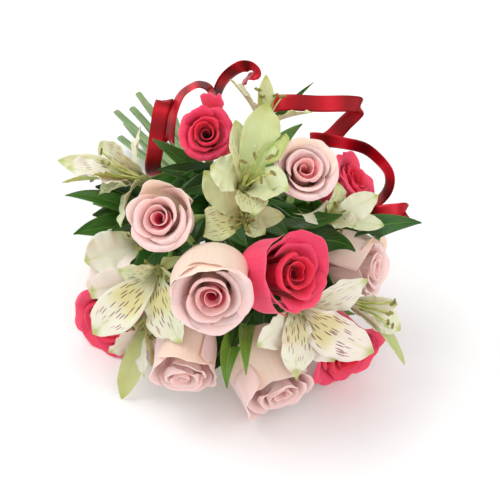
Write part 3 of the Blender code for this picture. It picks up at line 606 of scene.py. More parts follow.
# Leaves as (start down the stem, bend, tip, width, the way the upper side faces)
ROSE_LEAVES = {
    "red_rose_front": ((0.5, (44, -36, -46), (74, -42, -46), 16, (0, -0.5, -1)),),
    "pink_rose_far": ((0.1, (72, 17, 14), (109, 15, 8), 17, (0, 0.1, 1)),),
    "pink_rose_right": ((0.4, (14, 60, -34), (40, 78, -36), 15, (0, 0.5, -1)),),
    "pink_rose_middle": ((0.1, (-30, -4, 30), (-27, -12, 50), 8, (0, 0, 1)),),
    "pink_rose_below": (
        (0.1, (-8, -52, 30), (-6, -80, 37), 12, (0, 0, 1)),
        (0.1, (4, -42, 38), (5, -72, 43), 9, (0, 0, 1)),
    ),
    "red_rose_middle": (
        (0.1, (50, 16, 12), (68, -2, 29), 18, (0, 0, 1)),
        (0.2, (8, -8, 14), (13, 4, 38), 14, (0, 0, 1)),
    ),
}


def slot_point(slot, share):
    """A stem's place in its slot at the binding (share 0) or on the way to its cut end (share 1)."""
    steps, rises = slot
    offset = complex(SLOT_PITCH * (steps + 0.5 * rises), SLOT_PITCH * rises * math.sqrt(0.75))
    offset *= (1.0 - share) + share * TAIL_SPREAD * complex(math.cos(TAIL_TURN), math.sin(TAIL_TURN))
    back = share * (STEM_END_BACK - BINDING_BACK)
    return BINDING - AXIS * back + Vector((1.0, 0.0, 0.0)) * offset.real + SLOT_UP * offset.imag


def stem_route(foot, facing, slot):
    """A stem's middle line from under its flower to the binding, and from there to its cut end."""
    bound = slot_point(slot, 0.0)
    line = [foot, foot - facing * STEM_LEAVE, bound + AXIS * STEM_ENTER, bound]
    upper = [bezier(line, step / 24) for step in range(25)]
    bow = Vector((math.sin(3.0 * slot[0] + slot[1]), 0.0, math.cos(2.0 * slot[1] - slot[0]))) * STEM_BOW
    lower = [slot_point(slot, step / 16) + bow * math.sin(math.pi * step / 16) for step in range(1, 17)]
    return upper, lower


def stem_rod(growth, upper, lower, radius, finish, cut_finish, chance):
    """A stem with faint swellings, its end cut on a slant."""
    route = upper + lower
    radii = [radius * (1.0 + 0.05 * math.sin(0.9 * step + 9.0 * chance)) for step in range(len(route))]
    start = sum(len(block) for block in growth.points)
    growth.rod(route, radii, 14, finish, cut_finish, chance=chance)
    ring = growth.points[-1]
    for point in ring[-14:]:
        off = Vector(point) - route[-1]
        point += np.array(AXIS * (0.8 * off.z))
    for point in ring:
        point[2] = max(point[2], 0.05)
    return start


def clear_of_roses(spot, clearance=1.6):
    """The spot, moved out of every rose that it would stand in."""
    for bloom in ROSE_BLOOMS.values():
        spot = bloom.pushed_out(spot, clearance)
    return spot


def leaf_sheet(root, bend, tip, width, facing, ripple):
    """The points of a leaf from its root over a bend to its tip."""
    line = [root, bend, tip]
    upper_side = face_vector(*facing)
    sheet = []
    for row in range(31):
        v = row / 30
        along = (bezier(line, min(v + 0.02, 1.0)) - bezier(line, max(v - 0.02, 0.0))).normalized()
        across = along.cross(upper_side).normalized()
        lifted = across.cross(along)
        half = 0.5 * width * max(math.sin(math.pi * v ** 0.8) ** 0.85 if 0.0 < v < 1.0 else 0.0, 0.05)
        twist = 0.18 * ripple.at(v * 1.5)
        spots = []
        for column in range(13):
            u = column / 6 - 1.0
            fold = LEAF_FOLD * half * abs(u) ** 0.8 + 0.05 * width * abs(u) * ripple.at(2.5 * v + u, 1.6)
            spot = bezier(line, v) + across * (half * u) + lifted * (fold + twist * half * u)
            spots.append(on_table(clear_of_roses(spot) if v > 0.2 else spot))
        sheet.append(spots)
    return sheet


def sepal_sheet(bloom, index, draw):
    """The points of one sepal: from the calyx's rim, out under the petals and down at its tip."""
    angle = 2.0 * math.pi * index / SEPALS
    reach = 0.8 * bloom.radius * draw.uniform(0.85, 1.1)
    sheet = []
    for row in range(15):
        v = row / 14
        distance = 3.6 + (reach - 3.6) * v
        drop = 2.6 + 6.0 * v ** 1.6 - 1.5 * math.sin(math.pi * v)
        half = 2.9 * (1.0 - v) ** 0.75 * (0.7 + 0.9 * v) + 0.15
        spots = []
        for column in range(7):
            u = column / 3 - 1.0
            turned = angle + half * u / distance
            spots.append(on_table(bloom.point(distance, turned, -drop - 0.22 * half * u * u)))
        sheet.append(spots)
    return sheet


def leaf_finish(name, upper, upper_light, under, vein):
    """Leaf: dark and glossy above with pale veins that leave the midrib on a slant, and paler below."""
    finish = Finish(name, 0.4, Subsurface_Weight=0.06, Subsurface_Scale=0.002, Specular_IOR_Level=0.5)
    across, along = finish.mark("across"), finish.mark("along")
    outside, chance = finish.mark("outer_side"), finish.mark("chance")
    patchy = finish.noise(40.0, 3.0)
    top = finish.mix(finish.between(patchy + (chance - 0.5) * 0.5, 0.3, 0.75), upper, upper_light)
    colour = finish.mix(outside, under, top)
    slant = along * 15.0 - abs(across) * 3.2 + finish.noise(60.0) * 0.8
    ribs = finish.between(abs((slant.maths("FRACT")) - 0.5), 0.40, 0.5) * (1.0 - abs(across) * 0.7)
    midrib = 1.0 - finish.between(abs(across), 0.02, 0.09)
    rim = finish.between(abs(across), 0.93, 1.0) * 0.35
    colour = finish.mix(midrib * 0.75, finish.mix(ribs * 0.3, colour, vein), vein)
    colour = finish.mix(rim, colour, vein)
    finish.bump(midrib * 1.2 + ribs * 0.6 + patchy * 0.3, 0.0006, 0.6)
    return finish.wear(Base_Color=colour, Roughness=0.30 + (1.0 - outside) * 0.25 + patchy * 0.12)


def stem_finish(name, green, light, brown):
    """Stem: smooth green skin, streaked along its length and tinged here and there."""
    finish = Finish(name, 0.42, Subsurface_Weight=0.05, Subsurface_Scale=0.002)
    across, along, chance = finish.mark("across"), finish.mark("along"), finish.mark("chance")
    streak = finish.noise(1.0, 3.0, finish.spot(across * 9.0, along * 14.0, chance * 20.0))
    colour = finish.mix(finish.between(streak, 0.35, 0.7), green, light)
    colour = finish.mix(finish.between(finish.noise(28.0, 2.0), 0.58, 0.8) * 0.5, colour, brown)
    finish.bump(streak, 0.0004, 0.5)
    return finish.wear(Base_Color=colour, Roughness=0.36 + streak * 0.2)


def cut_finish(name, pith, ring):
    """The wet cut face of a stem: pale pith, dotted with a darker green."""
    finish = Finish(name, 0.35)
    dots = finish.noise(900.0, 2.0)
    return finish.wear(Base_Color=finish.mix(finish.between(dots, 0.45, 0.62), pith, ring))


ROSE_STEM = stem_finish("rose stem", tint(98, 130, 74), tint(138, 164, 104), tint(122, 100, 70))
ROSE_LEAF = leaf_finish(
    "rose leaf", tint(18, 58, 6), tint(42, 98, 18), tint(96, 146, 66), tint(96, 142, 52)
)
SEPAL_GREEN = leaf_finish(
    "sepal", tint(88, 136, 38), tint(128, 170, 60), tint(160, 190, 104), tint(172, 196, 104)
)
STEM_CUT = cut_finish("cut stem", tint(206, 214, 160), tint(138, 158, 92))

for seed, (node, bloom) in enumerate(ROSE_BLOOMS.items()):
    draw = random.Random(60 + seed)
    growth = Growth()
    top = bloom.foot - bloom.axis * 0.8
    upper, lower = stem_route(top - bloom.axis * 4.0, bloom.axis, SLOTS[node])
    stem_rod(growth, upper, lower, STEM_RADIUS, 0, 3, draw.random())
    cup = [top - bloom.axis * drop for drop in (9.6, 8.4, 6.8, 4.8, 2.8, 1.2, 0.2)]
    growth.rod(cup, (2.3, 3.0, 4.4, 5.0, 4.7, 4.9, 5.2), 18, 2, chance=draw.random())
    for index in range(SEPALS):
        growth.blade(sepal_sheet(bloom, index, draw), 0.45, 2, chance=draw.random())
    for start, bend, tip, width, facing in ROSE_LEAVES.get(node, ()):
        root = upper[min(int(start * 24), 23)]
        sheet = leaf_sheet(root, face_point(*bend), face_point(*tip), width, facing, Ripple(draw))
        growth.blade(sheet, LEAF_THICK, 2 if width < YOUNG_LEAF_WIDTH else 1, chance=draw.random())
    growth.stands_for(node + "_stem", [ROSE_STEM, ROSE_LEAF, SEPAL_GREEN, STEM_CUT])


# The alstroemeria. Six tepals flare from a narrow throat: broad plain ones with a green point, and slimmer
# ones that carry a yellow patch and brown strokes. Six stamens with olive anthers arch out between them.
THROAT_LENGTH = 8.0
BROAD_RING, SLIM_RING = 2.9, 1.7
SLIM_WIDTH = 16.0
TEPAL_CUP = 0.28
TEPAL_THICK = 0.4
STAMENS = 6

# Foot, the way it faces, tepals as (tip, width, strokes 0 to 1, tone from green-white 0 to pink-white 1),
# and length of the stamens
ALSTROEMERIA = {
    "alstroemeria_top": (
        (2, 33, 37), (0.3, 0.35, 0.85),
        (
            ((17, 82, 42), 22, 0.0, 0.15), ((-1, 72, 48), 15, 0.3, 0.3), ((29, 64, 44), 11, 0.1, 0.0),
            ((-15, 46, 48), 24, 0.12, 0.35), ((10, 18, 52), 19, 0.35, 0.3), ((29, 32, 57), 21, 0.0, 0.35),
        ), 34,
    ),
    "alstroemeria_upper_middle": (
        (5, 15, 26), (-0.25, 0.15, 0.95),
        (
            ((-25, 10, 42), 20, 0.35, 0.25), ((-19, 44, 38), 17, 0.15, 0.25), ((27, 18, 38), 12, 0.2, 0.3),
            ((16, 8, 40), 12, 0.3, 0.3),
        ), 12,
    ),
    "alstroemeria_left": (
        (-43, -11, 26), (-0.45, -0.45, 0.77),
        (
            ((-84, -50, 24), 24, 1.0, 0.6), ((-32, -56, 34), 26, 1.0, 0.55), ((-68, -13, 38), 14, 0.3, 0.4),
            ((-86, -25, 20), 24, 0.0, 0.85), ((-31, 0, 37), 8, 0.0, 0.1), ((-36, -16, 42), 9, 0.2, 0.3),
        ), 11,
    ),
    "alstroemeria_far_left": (
        (-53, 6, 4), (-0.7, -0.3, 0.5),
        (
            ((-91, -8, 8), 26, 0.0, 0.6), ((-82, 2, -6), 20, 0.0, 0.6), ((-87, -30, 6), 26, 0.0, 0.95),
            ((-74, 11, 12), 12, 0.3, 0.3),
        ), 13,
    ),
    "alstroemeria_right": (
        (31, -29, 26), (0.25, -0.55, 0.8),
        (
            ((78, -60, 34), 27, 1.0, 0.85), ((33, -74, 34), 20, 0.8, 0.6), ((56, -66, 24), 20, 0.0, 1.0),
            ((11, -56, 42), 20, 0.0, 0.6), ((75, -18, 32), 20, 0.3, 0.7),
        ), 14,
    ),
    "alstroemeria_upper_left": (
        (-52, 40, 0), (-0.9, 0.25, 0.3),
        (
            ((-101, 47, 12), 28, 0.4, 0.7), ((-109, 53, -6), 14, 0.3, 0.4), ((-84, 64, -8), 22, 0.3, 0.5),
            ((-103, 38, 20), 11, 0.2, 0.0), ((-68, 12, 20), 14, 0.0, 0.4), ((-84, 31, 6), 24, 0.1, 0.35),
            ((-59, 74, -8), 12, 0.0, 0.5),
        ), 34,
    ),
    "alstroemeria_upper_right": (
        (51, 17, 14), (0.55, 0.1, 0.8),
        (
            ((82, 31, 20), 15, 0.1, 0.5), ((58, 38, 26), 13, 0.4, 0.3), ((33, 26, 34), 18, 0.1, 0.55),
            ((86, 13, 16), 11, 0.0, 0.4), ((68, 12, 30), 15, 0.2, 0.45),
        ), 14,
    ),
    "alstroemeria_back": (
        (14, 65, -4), (0.15, 0.95, 0.2),
        (((-5, 101, 2), 16, 0.2, 0.4), ((44, 80, 12), 14, 0.2, 0.3), ((17, 105, -6), 10, 0.2, 0.2)), 30,
    ),
    "alstroemeria_below_left": (
        (-53, -38, 0), (-0.3, -0.9, 0.2),
        (
            ((-71, -92, -11), 13, 0.1, 0.1), ((-56, -78, 2), 13, 0.0, 0.7), ((-46, -69, 14), 10, 0.3, 0.2),
            ((-78, -63, -4), 20, 0.0, 0.8),
        ), 15,
    ),
    "alstroemeria_far_right": (
        (60, -30, 14), (0.9, -0.25, 0.3),
        (
            ((97, -49, 4), 18, 0.1, 0.5), ((94, -33, 16), 14, 0.2, 0.55), ((100, -70, 2), 9, 0.0, 0.1),
            ((86, -50, 24), 14, 0.2, 0.6),
        ), 34,
    ),
}


def tepal_sheet(bloom, tip, width, ripple, fade):
    """The points of one tepal: up the throat with the flower's axis, then over in an arch to its tip."""
    reach = (tip - bloom.foot).length
    ring = BROAD_RING if width > SLIM_WIDTH else SLIM_RING
    arrive = ((tip - bloom.foot).normalized() - bloom.axis * 0.35).normalized()
    sideways = bloom.axis.cross(tip - bloom.foot).normalized()
    root = sideways.cross(bloom.axis) * ring
    line = [
        bloom.foot + root + bloom.axis,
        bloom.foot + root * 1.4 + bloom.axis * (0.40 * reach),
        tip - arrive * (0.34 * reach),
        tip,
    ]
    sheet = []
    for row in range(33):
        v = row / 32
        along = bezier(line, min(v + 0.02, 1.0)) - bezier(line, max(v - 0.02, 0.0))
        inward = sideways.cross(along).normalized() * -1.0
        shape = 0.15 * (1.0 - v) + 0.98 * math.sin(math.pi * min(v ** 1.5, 1.0)) ** 0.85 if v < 1.0 else 0.0
        half = 0.5 * width * max(shape, 0.035)
        spots = []
        for column in range(17):
            u = column / 8 - 1.0
            edge = abs(u) ** 2 * (1.0 if v < 0.9 else (1.0 - v) * 10.0)
            wave = 0.11 * width * edge * ripple.at(3.2 * v + (0.7 if u > 0 else 0.0), 2.2) * fade
            rib = -0.5 * math.exp(-(u / 0.14) ** 2) * math.sin(math.pi * v)
            lift = TEPAL_CUP * half * u * u + wave + rib
            spot = bezier(line, v) + sideways * (half * u) + inward * lift
            spots.append(on_table(clear_of_roses(spot) if v > 0.2 else spot))
        sheet.append(spots)
    return sheet


def tepal_finish():
    """Tepal: waxy cream-white with fine veins, a green point, and on some a yellow patch and brown strokes."""
    finish = Finish(
        "alstroemeria tepal", 0.42, Subsurface_Weight=0.2, Subsurface_Scale=0.003, Specular_IOR_Level=0.45
    )
    across, along = finish.mark("across"), finish.mark("along")
    strokes, tone, chance = finish.mark("depth"), finish.mark("tone"), finish.mark("chance")
    colour = finish.node("ShaderNodeValToRGB", {"stops": (
        (0.0, tint(168, 182, 102)), (0.3, tint(206, 212, 162)), (0.6, tint(230, 225, 206)),
        (1.0, tint(240, 222, 214)),
    )}, {"Fac": tone + (finish.noise(45.0, 3.0) - 0.5) * 0.3})
    fine = finish.noise(1.0, 3.0, finish.spot(across * 22.0 + chance * 50.0, along * 2.0, chance * 7.0))
    colour = finish.mix(finish.between(fine, 0.5, 0.75) * 0.3, colour, tint(204, 210, 168))
    throat = 1.0 - finish.between(along, 0.12, 0.42)
    colour = finish.mix(throat * 0.75, colour, tint(150, 156, 84))
    patch = finish.between(along, 0.22, 0.36) * (1.0 - finish.between(along, 0.5, 0.68))
    patch = patch * (1.0 - finish.between(abs(across), 0.6, 1.0)) * strokes
    colour = finish.mix(patch * 0.65, colour, tint(208, 198, 106))
    point = finish.between(along + (1.0 - abs(across)) * 0.03, 0.9, 1.0)
    rib = (1.0 - finish.between(abs(across), 0.03, 0.16)) * finish.between(along, 0.5, 0.95)
    colour = finish.mix(point * 0.8, finish.mix(rib * 0.4, colour, tint(190, 204, 120)), tint(164, 184, 84))
    cells = finish.node(
        "ShaderNodeTexVoronoi", {"voronoi_dimensions": "2D"},
        {"Vector": finish.spot(across * 7.4 + chance * 31.0, along * 4.6 + chance * 17.0), "Scale": 1.0},
    )
    here = finish.between(along, 0.16, 0.3) * (1.0 - finish.between(along, 0.72, 0.9))
    here = here * (1.0 - finish.between(abs(across), 0.74, 0.95))
    size = 0.08 + here * 0.14
    fleck = (1.0 - finish.between(cells, size - 0.06, size + 0.03)) * here * finish.between(strokes, 0.05, 0.5)
    brown = finish.mix(finish.between(along, 0.4, 0.72), tint(84, 44, 30), tint(150, 104, 118))
    colour = finish.mix(fleck * 0.95, colour, brown)
    finish.bump(fine, 0.0005, 0.5)
    return finish.wear(Base_Color=colour, Roughness=0.36 + fine * 0.16)


def flat_finish(name, low, high, roughness, scale):
    """A small part of a flower in two close shades."""
    finish = Finish(name, roughness, Subsurface_Weight=0.05, Subsurface_Scale=0.002)
    grain = finish.noise(scale, 3.0)
    finish.bump(grain, 0.0003, 0.4)
    return finish.wear(Base_Color=finish.mix(finish.between(grain, 0.35, 0.65), low, high))


TEPAL = tepal_finish()
FILAMENT = flat_finish("filament", tint(158, 166, 76), tint(204, 208, 128), 0.45, 120.0)
ANTHER = flat_finish("anther", tint(104, 102, 40), tint(150, 140, 66), 0.7, 700.0)
THROAT_SKIN = flat_finish("throat skin", tint(112, 112, 54), tint(158, 158, 92), 0.45, 150.0)

ALSTROEMERIA_BLOOMS = {}
for seed, (node, (foot, facing, tepals, stamen_length)) in enumerate(ALSTROEMERIA.items()):
    draw = random.Random(100 + seed)
    growth = Growth()
    bloom = Bloom(face_point(*foot), face_vector(*facing))
    ALSTROEMERIA_BLOOMS[node] = bloom
    for tip, width, strokes, tone in tepals:
        sheet = tepal_sheet(bloom, face_point(*tip), width, Ripple(draw), 1.0 if width > 10 else 0.4)
        growth.blade(sheet, TEPAL_THICK, 0, depth=strokes, tone=tone, chance=draw.random())
    throat = [bloom.foot + bloom.axis * (THROAT_LENGTH * step / 6) for step in range(7)]
    growth.rod(throat, (2.0, 2.6, 3.0, 3.1, 2.8, 2.2, 1.0), 14, 3)
    for index in range(STAMENS):
        angle = 2.0 * math.pi * (index + 0.3 * draw.random()) / STAMENS
        lean = bloom.side * math.cos(angle) + bloom.across * math.sin(angle)
        length = stamen_length * draw.uniform(0.82, 1.02)
        out = draw.uniform(5.0, 8.0)
        route = [
            bloom.foot + bloom.axis * (length * share) + lean * (1.0 + out * share ** 2.2)
            for share in [0.25 + 0.75 * step / 12 for step in range(13)]
        ]
        growth.rod(route, [0.72 - 0.025 * step for step in range(13)], 7, 1)
        way = (lean * 0.8 + bloom.axis * draw.uniform(-0.4, 0.5)).normalized()
        anther = [route[-1] + way * (2.4 * (step / 4 - 1.0)) for step in range(9)]
        growth.rod(anther, (0.25, 0.75, 1.0, 1.05, 1.0, 1.05, 1.0, 0.75, 0.25), 9, 2, squash=0.7)
    growth.stands_for(node, [TEPAL, FILAMENT, ANTHER, THROAT_SKIN])


# The alstroemeria's green. Three stems each divide into slender stalks, one to a flower, and carry narrow
# leaves whose points twist.
SPRAY_STEM_RADIUS = 2.1
STALK_RADII = (1.4, 1.4, 1.4, 1.5, 2.4, 1.8)
STALK_LEAVE, STALK_ENTER = 5.0, 12.0
SPRAYS = {
    "spray_top": (
        (-4, 34, -14),
        ("alstroemeria_top", "alstroemeria_upper_middle", "alstroemeria_upper_right", "alstroemeria_back"),
        (
            (0.2, (-30, 50, 0), (-51, 65, 6), 12, (0.2, 0.4, 1)),
            (0.0, (-18, 46, 4), (-47, 46, 14), 17, (0.1, 0.2, 1)),
            (0.0, (-10, 44, 6), (-36, 32, 16), 18, (0, 0, 1)),
            (0.1, (-12, 52, 0), (2, 50, 18), 16, (0, 0, 1)),
            (0.0, (34, 10, 26), (60, 19, 37), 15, (0, 0, 1)),
            (0.0, (14, 14, 12), (48, 6, 28), 20, (0, 0, 1)),
            (0.0, (-6, 20, 14), (-26, 2, 26), 18, (0, 0, 1)),
            (0.0, (12, 20, 16), (31, 5, 36), 17, (0, 0, 1)),
            (0.1, (-8, 14, 18), (6, 1, 32), 18, (0, 0, 1)),
            (0.3, (18, 80, -26), (46, 101, -12), 6, (0, 0, 1)),
            (0.05, (-16, 24, 0), (-42, -2, 6), 24, (0, 0, 1)),
            (0.05, (4, 16, 0), (8, -14, 8), 24, (0, 0, 1)),
            (0.1, (22, 34, -6), (58, 36, -4), 22, (0, 0, 1)),
            (0.0, (26, 20, 0), (50, -8, 4), 24, (0, 0, 1)),
            (0.05, (-2, 18, -4), (-20, -10, 4), 26, (0, 0, 1)),
            (0.05, (14, 18, -2), (24, -4, 8), 26, (0, 0, 1)),
            (0.1, (40, 22, -6), (90, 12, 0), 22, (0, 0, 1)),
            (0.05, (-20, 40, -6), (-64, 36, 0), 26, (0, 0, 1)),
        ),
    ),
    "spray_left": (
        (-42, 8, -18),
        ("alstroemeria_left", "alstroemeria_far_left", "alstroemeria_upper_left", "alstroemeria_below_left"),
        (
            (0.1, (-75, 34, 6), (-102, 31, 12), 11, (0, 0.3, 1)),
            (0.2, (-74, 16, -2), (-97, 8, 12), 18, (0, 0.3, 1)),
            (0.0, (-38, 34, 0), (-26, 46, 14), 16, (0, 0, 1)),
            (0.0, (-50, 22, 2), (-74, 10, 18), 18, (0, 0, 1)),
            (0.0, (-46, 0, 6), (-66, -20, 18), 18, (0, 0, 1)),
            (0.05, (-60, 24, -8), (-88, 20, -6), 22, (0, 0, 1)),
            (0.05, (-56, 34, -8), (-86, 37, -4), 22, (0, 0, 1)),
            (0.05, (-34, -8, -4), (-38, -46, 2), 24, (0, 0, 1)),
            (0.05, (-56, -6, -8), (-72, -36, -6), 22, (0, 0, 1)),
            (0.5, (-60, 26, -44), (-92, 28, -38), 16, (0, 0.5, -1)),
        ),
    ),
    "spray_right": (
        (26, -26, -10), ("alstroemeria_right", "alstroemeria_far_right"),
        (
            (0.0, (8, -34, 10), (-4, -60, 24), 16, (0, 0, 1)),
            (0.0, (10, -32, 8), (18, -58, 22), 14, (0, 0, 1)),
            (0.05, (14, -44, -2), (-8, -66, 4), 24, (0, 0, 1)),
            (0.05, (-2, -44, -6), (-19, -76, 2), 26, (0, 0, 1)),
            (0.05, (34, -46, -4), (44, -72, 2), 22, (0, 0, 1)),
            (0.05, (44, -16, -4), (68, -20, 0), 24, (0, 0, 1)),
        ),
    ),
}
SPRAY_LEAF = leaf_finish(
    "alstroemeria leaf", tint(22, 68, 8), tint(50, 108, 22), tint(100, 150, 68), tint(104, 150, 58)
)
SPRAY_STEM = stem_finish("alstroemeria stem", tint(96, 138, 62), tint(150, 178, 96), tint(126, 122, 66))

for seed, (node, (whorl, carried, leaves)) in enumerate(SPRAYS.items()):
    draw = random.Random(140 + seed)
    growth = Growth()
    start = face_point(*whorl)
    upper, lower = stem_route(start, AXIS, SLOTS[node])
    stem_rod(growth, upper, lower, SPRAY_STEM_RADIUS, 0, 2, draw.random())
    for name in carried:
        bloom = ALSTROEMERIA_BLOOMS[name]
        top = bloom.foot - bloom.axis * 0.4
        line = [
            start - AXIS * 2.0,
            start + (top - start) * 0.3 + AXIS * STALK_LEAVE,
            top - bloom.axis * STALK_ENTER,
            top,
        ]
        route = [bezier(line, step / 25) for step in range(26)]
        radii = [smooth_steps(STALK_RADII, step / 25) for step in range(26)]
        growth.rod(route, radii, 10, 0, chance=draw.random())
    for share, bend, tip, width, facing in leaves:
        root = upper[min(int(share * 24), 23)]
        sheet = leaf_sheet(root, face_point(*bend), face_point(*tip), width, facing, Ripple(draw))
        growth.blade(sheet, LEAF_THICK, 1, chance=draw.random())
    growth.stands_for(node, [SPRAY_STEM, SPRAY_LEAF, STEM_CUT])


# The ribbon: red metallic curling ribbon, 10 mm wide and finely ribbed along its length. A band of it is
# wound round the stems and knotted, and its two tails were pulled over a blade so that they curl.
RIBBON_WIDTH = 10.0
RIBBON_THICK = 0.3
BAND_RADIUS = 15.4

# Points along each tail from the knot, and the way that its width runs there
LEFT_TAIL = (
    ((-32, 47, -51), (0.34, -0.78, 0.56)), ((-39, 45, -48), (0.34, -0.78, 0.56)),
    ((-46, 44, -43), (0.8, -0.45, 0.4)), ((-52, 46, -34), (1, 0.1, 0)), ((-53, 51, -25), (1, 0.2, 0)),
    ((-51, 60, -18), (1, 0.2, 0)), ((-49, 72, -14), (1, 0.2, 0)), ((-47, 84, -12), (1, 0.2, 0)),
    ((-45, 90, -13), (1, 0.2, 0)), ((-44, 86, -20), (1, 0.2, 0)), ((-44, 76, -22), (0.9, 0.1, 0.4)),
    ((-43, 66, -18), (0.7, 0, 0.7)), ((-40, 81, -12), (0.6, -0.1, 0.8)), ((-35, 92, -8), (0.45, -0.3, 0.83)),
    ((-29, 97, -6), (0.2, -0.5, 0.83)), ((-23, 99, -6), (0, -0.55, 0.83)), ((-17, 96, -8), (-0.3, -0.45, 0.83)),
    ((-15, 87, -14), (-0.55, 0, 0.83)), ((-14, 92, -20), (-0.55, 0, 0.83)), ((-11, 100, -18), (-0.5, 0.2, 0.83)),
    ((-6, 106, -14), (-0.4, 0.4, 0.83)), ((1, 110, -10), (0, 0.55, 0.83)), ((7, 110, -8), (0.2, 0.5, 0.83)),
    ((10, 107, -10), (0.4, 0.3, 0.83)), ((6, 104, -16), (0.5, 0.2, 0.8)), ((2, 101, -20), (0.5, 0.2, 0.8)),
)
RIGHT_TAIL = (
    ((-20, 50, -54), (-0.34, 0.78, -0.56)), ((-14, 51, -51), (-0.3, 0.85, -0.4)), ((-8, 55, -45), (-0.2, 0.9, -0.2)),
    ((-2, 62, -38), (0, 1, 0)), ((12, 79, -22), (0, 1, 0)), ((21, 87, -10), (0, 1, 0)), ((31, 88, -6), (0, 1, 0)),
    ((49, 87, -4), (0, 1, 0)), ((68, 87, -4), (0, 1, 0)), ((74, 85, -6), (0, 1, 0)), ((65, 76, -12), (0, 1, 0)),
    ((56, 67, -14), (0, 1, 0)), ((47, 64, -12), (0, 1, 0)), ((44, 65, -8), (0, 1, 0.1)), ((52, 65, -4), (0, 0.8, 0.6)),
    ((64, 63, -2), (0, 0.65, 0.76)), ((76, 60, -2), (0.15, 0.6, 0.8)), ((85, 53, -2), (0.35, 0.4, 0.85)),
    ((91, 45, -4), (0.45, 0.15, 0.88)), ((91, 36, -8), (0.45, -0.1, 0.88)), ((85, 28, -14), (0.35, -0.4, 0.85)),
    ((75, 23, -16), (0.1, -0.8, 0.6)), ((75, 18, -12), (0, -1, 0.2)), ((86, 21, -6), (0, -1, 0)),
    ((96, 22, -4), (0, -1, 0)), ((101, 22, -4), (0, -1, 0)), ((95, 16, -8), (0, -1, 0)),
)


def ribbon_finish():
    """Metallic red film: bright and dark streaks of painted reflection along it, and fine ribs that run its length."""
    finish = Finish("red ribbon", 0.3, Metallic=0.45, Specular_IOR_Level=0.4)
    across, along = finish.mark("across"), finish.mark("along")
    ribs = finish.noise(1.0, 2.0, finish.spot(across * 14.0, along * 3.0))
    # Painted reflection: a noise along the ribbon picks dark maroon or bright red, standing in for the dark and light
    # that the curved metallic film mirrors; the red between them is the ribbon's own.
    painted_reflection_bands = finish.noise(1.0, 1.0, finish.spot(along * 17.0, 4.0))
    colour = finish.node("ShaderNodeValToRGB", {"stops": (
        (0.30, tint(72, 0, 8)), (0.44, tint(142, 4, 18)), (0.56, tint(194, 14, 34)), (0.7, tint(226, 48, 70)),
    )}, {"Fac": painted_reflection_bands + (ribs - 0.5) * 0.12})
    finish.bump(ribs, 0.0002, 0.5)
    return finish.wear(Base_Color=colour, Roughness=0.24 + ribs * 0.2)


RIBBON = ribbon_finish()


def flowing(points, steps):
    """Points on a smooth curve through the given ones."""
    spots = [points[0] * 2.0 - points[1]] + list(points) + [points[-1] * 2.0 - points[-2]]
    line = []
    for a, b, c, d in zip(spots, spots[1:], spots[2:], spots[3:]):
        for step in range(steps):
            t = step / steps
            line.append(0.5 * (
                b * 2.0 + (c - a) * t + (a * 2.0 - b * 5.0 + c * 4.0 - d) * t ** 2
                + (b * 3.0 - a - c * 3.0 + d) * t ** 3
            ))
    return line + [points[-1]]


def ribbon_tail(node, points):
    """A tail along its points, each with the way that the width runs there."""
    line = flowing([face_point(*point) for point, _ in points], 8)
    ways = flowing([face_vector(*way) for _, way in points], 8)
    length = sum((b - a).length for a, b in zip(line, line[1:]))
    sheet = []
    for index, (spot, way) in enumerate(zip(line, ways)):
        ahead = (line[min(index + 1, len(line) - 1)] - line[max(index - 1, 0)]).normalized()
        side = (way - ahead * way.dot(ahead)).normalized()
        sheet.append([spot + side * (0.5 * RIBBON_WIDTH * (column / 3 - 1.0)) for column in range(7)])
    growth = Growth()
    growth.blade(sheet, RIBBON_THICK)
    piece = growth.stands_for(node, [RIBBON])
    return piece


band = Growth()
turns = []
for step in range(121):
    angle = 2.0 * math.pi * 2.25 * step / 120
    radius = BAND_RADIUS - 0.5 + 0.45 * step / 120
    round_it = Vector((1.0, 0.0, 0.0)) * math.cos(angle) + SLOT_UP * math.sin(angle)
    drift = 0.8 * math.sin(1.3 * angle)
    turns.append([
        BINDING + round_it * radius + AXIS * (drift + 0.5 * RIBBON_WIDTH * (column / 3 - 1.0))
        for column in range(7)
    ])
band.blade(turns, RIBBON_THICK)
knot = BINDING + SLOT_UP * (BAND_RADIUS + 2.2)
loop = []
for step in range(49):
    angle = 2.0 * math.pi * step / 48
    loop.append(
        knot + Vector((1.0, 0.0, 0.0)) * (2.6 * (math.sin(angle) + 0.9 * math.sin(2.0 * angle)))
        + AXIS * (2.6 * (math.cos(angle) - 0.9 * math.cos(2.0 * angle))) + SLOT_UP * (1.4 * math.sin(3.0 * angle))
    )
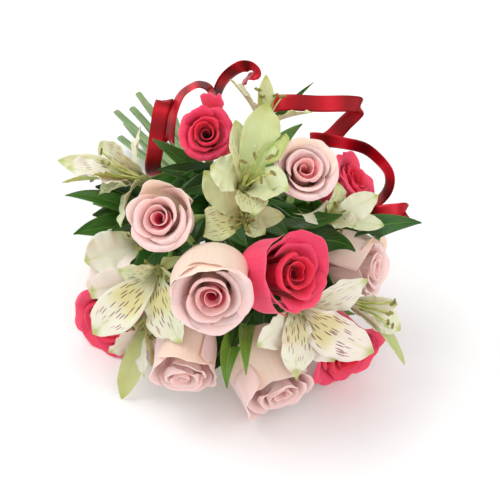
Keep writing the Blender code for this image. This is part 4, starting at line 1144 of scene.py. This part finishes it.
band.rod(loop[:-1], [1.5] * 48, 10, squash=0.6)
band.stands_for("ribbon_band", [RIBBON])
ribbon_tail("ribbon_tail_left", LEFT_TAIL)
ribbon_tail("ribbon_tail_right", RIGHT_TAIL)


# The table that the posy lies on, white and matt, under the broad soft light of a white studio, with a long
# lens that looks down on the head of flowers.
table_mesh = bpy.data.meshes.new("table")
table_mesh.from_pydata([(-3, -3, 0), (3, -3, 0), (3, 3, 0), (-3, 3, 0)], [], [(0, 1, 2, 3)])
table = bpy.data.objects.new("table", table_mesh)
bpy.context.scene.collection.objects.link(table)
white_top = Finish("white table", 0.8)
cloud = white_top.noise(3.0)
table_mesh.materials.append(white_top.wear(
    Base_Color=white_top.mix(cloud, (0.88, 0.88, 0.88, 1.0), (0.92, 0.92, 0.92, 1.0))
))

world = bpy.data.worlds.new("studio")
world.use_nodes = True
world.node_tree.nodes["Background"].inputs["Color"].default_value = (1.0, 1.0, 1.0, 1.0)
world.node_tree.nodes["Background"].inputs["Strength"].default_value = 0.94
bpy.context.scene.world = world
bpy.context.scene.view_settings.view_transform = "Standard"


def soft_light(name, place, towards, size, power):
    """A broad soft lamp."""
    data = bpy.data.lights.new(name, "AREA")
    data.size = size
    data.energy = power
    lamp = bpy.data.objects.new(name, data)
    bpy.context.scene.collection.objects.link(lamp)
    lamp.location = place
    lamp.rotation_euler = (Vector(towards) - Vector(place)).to_track_quat("-Z", "Y").to_euler()


soft_light("window", (-0.6, 0.45, 1.2), (0.0, -0.05, 0.05), 0.8, 8.0)
soft_light("fill", (0.4, -1.2, 0.7), (0.0, -0.05, 0.05), 1.0, 4.0)

camera_data = bpy.data.cameras.new("camera")
camera_data.lens = 90.0
camera_data.sensor_width = 36.0
camera = bpy.data.objects.new("camera", camera_data)
bpy.context.scene.collection.objects.link(camera)
aim = (HEAD_CENTRE + ACROSS * 7.2 - UP * 1.2) * MM
camera.location = aim + OUT * 0.75
camera.rotation_euler = (-OUT).to_track_quat("-Z", "Y").to_euler()
bpy.context.scene.camera = camera
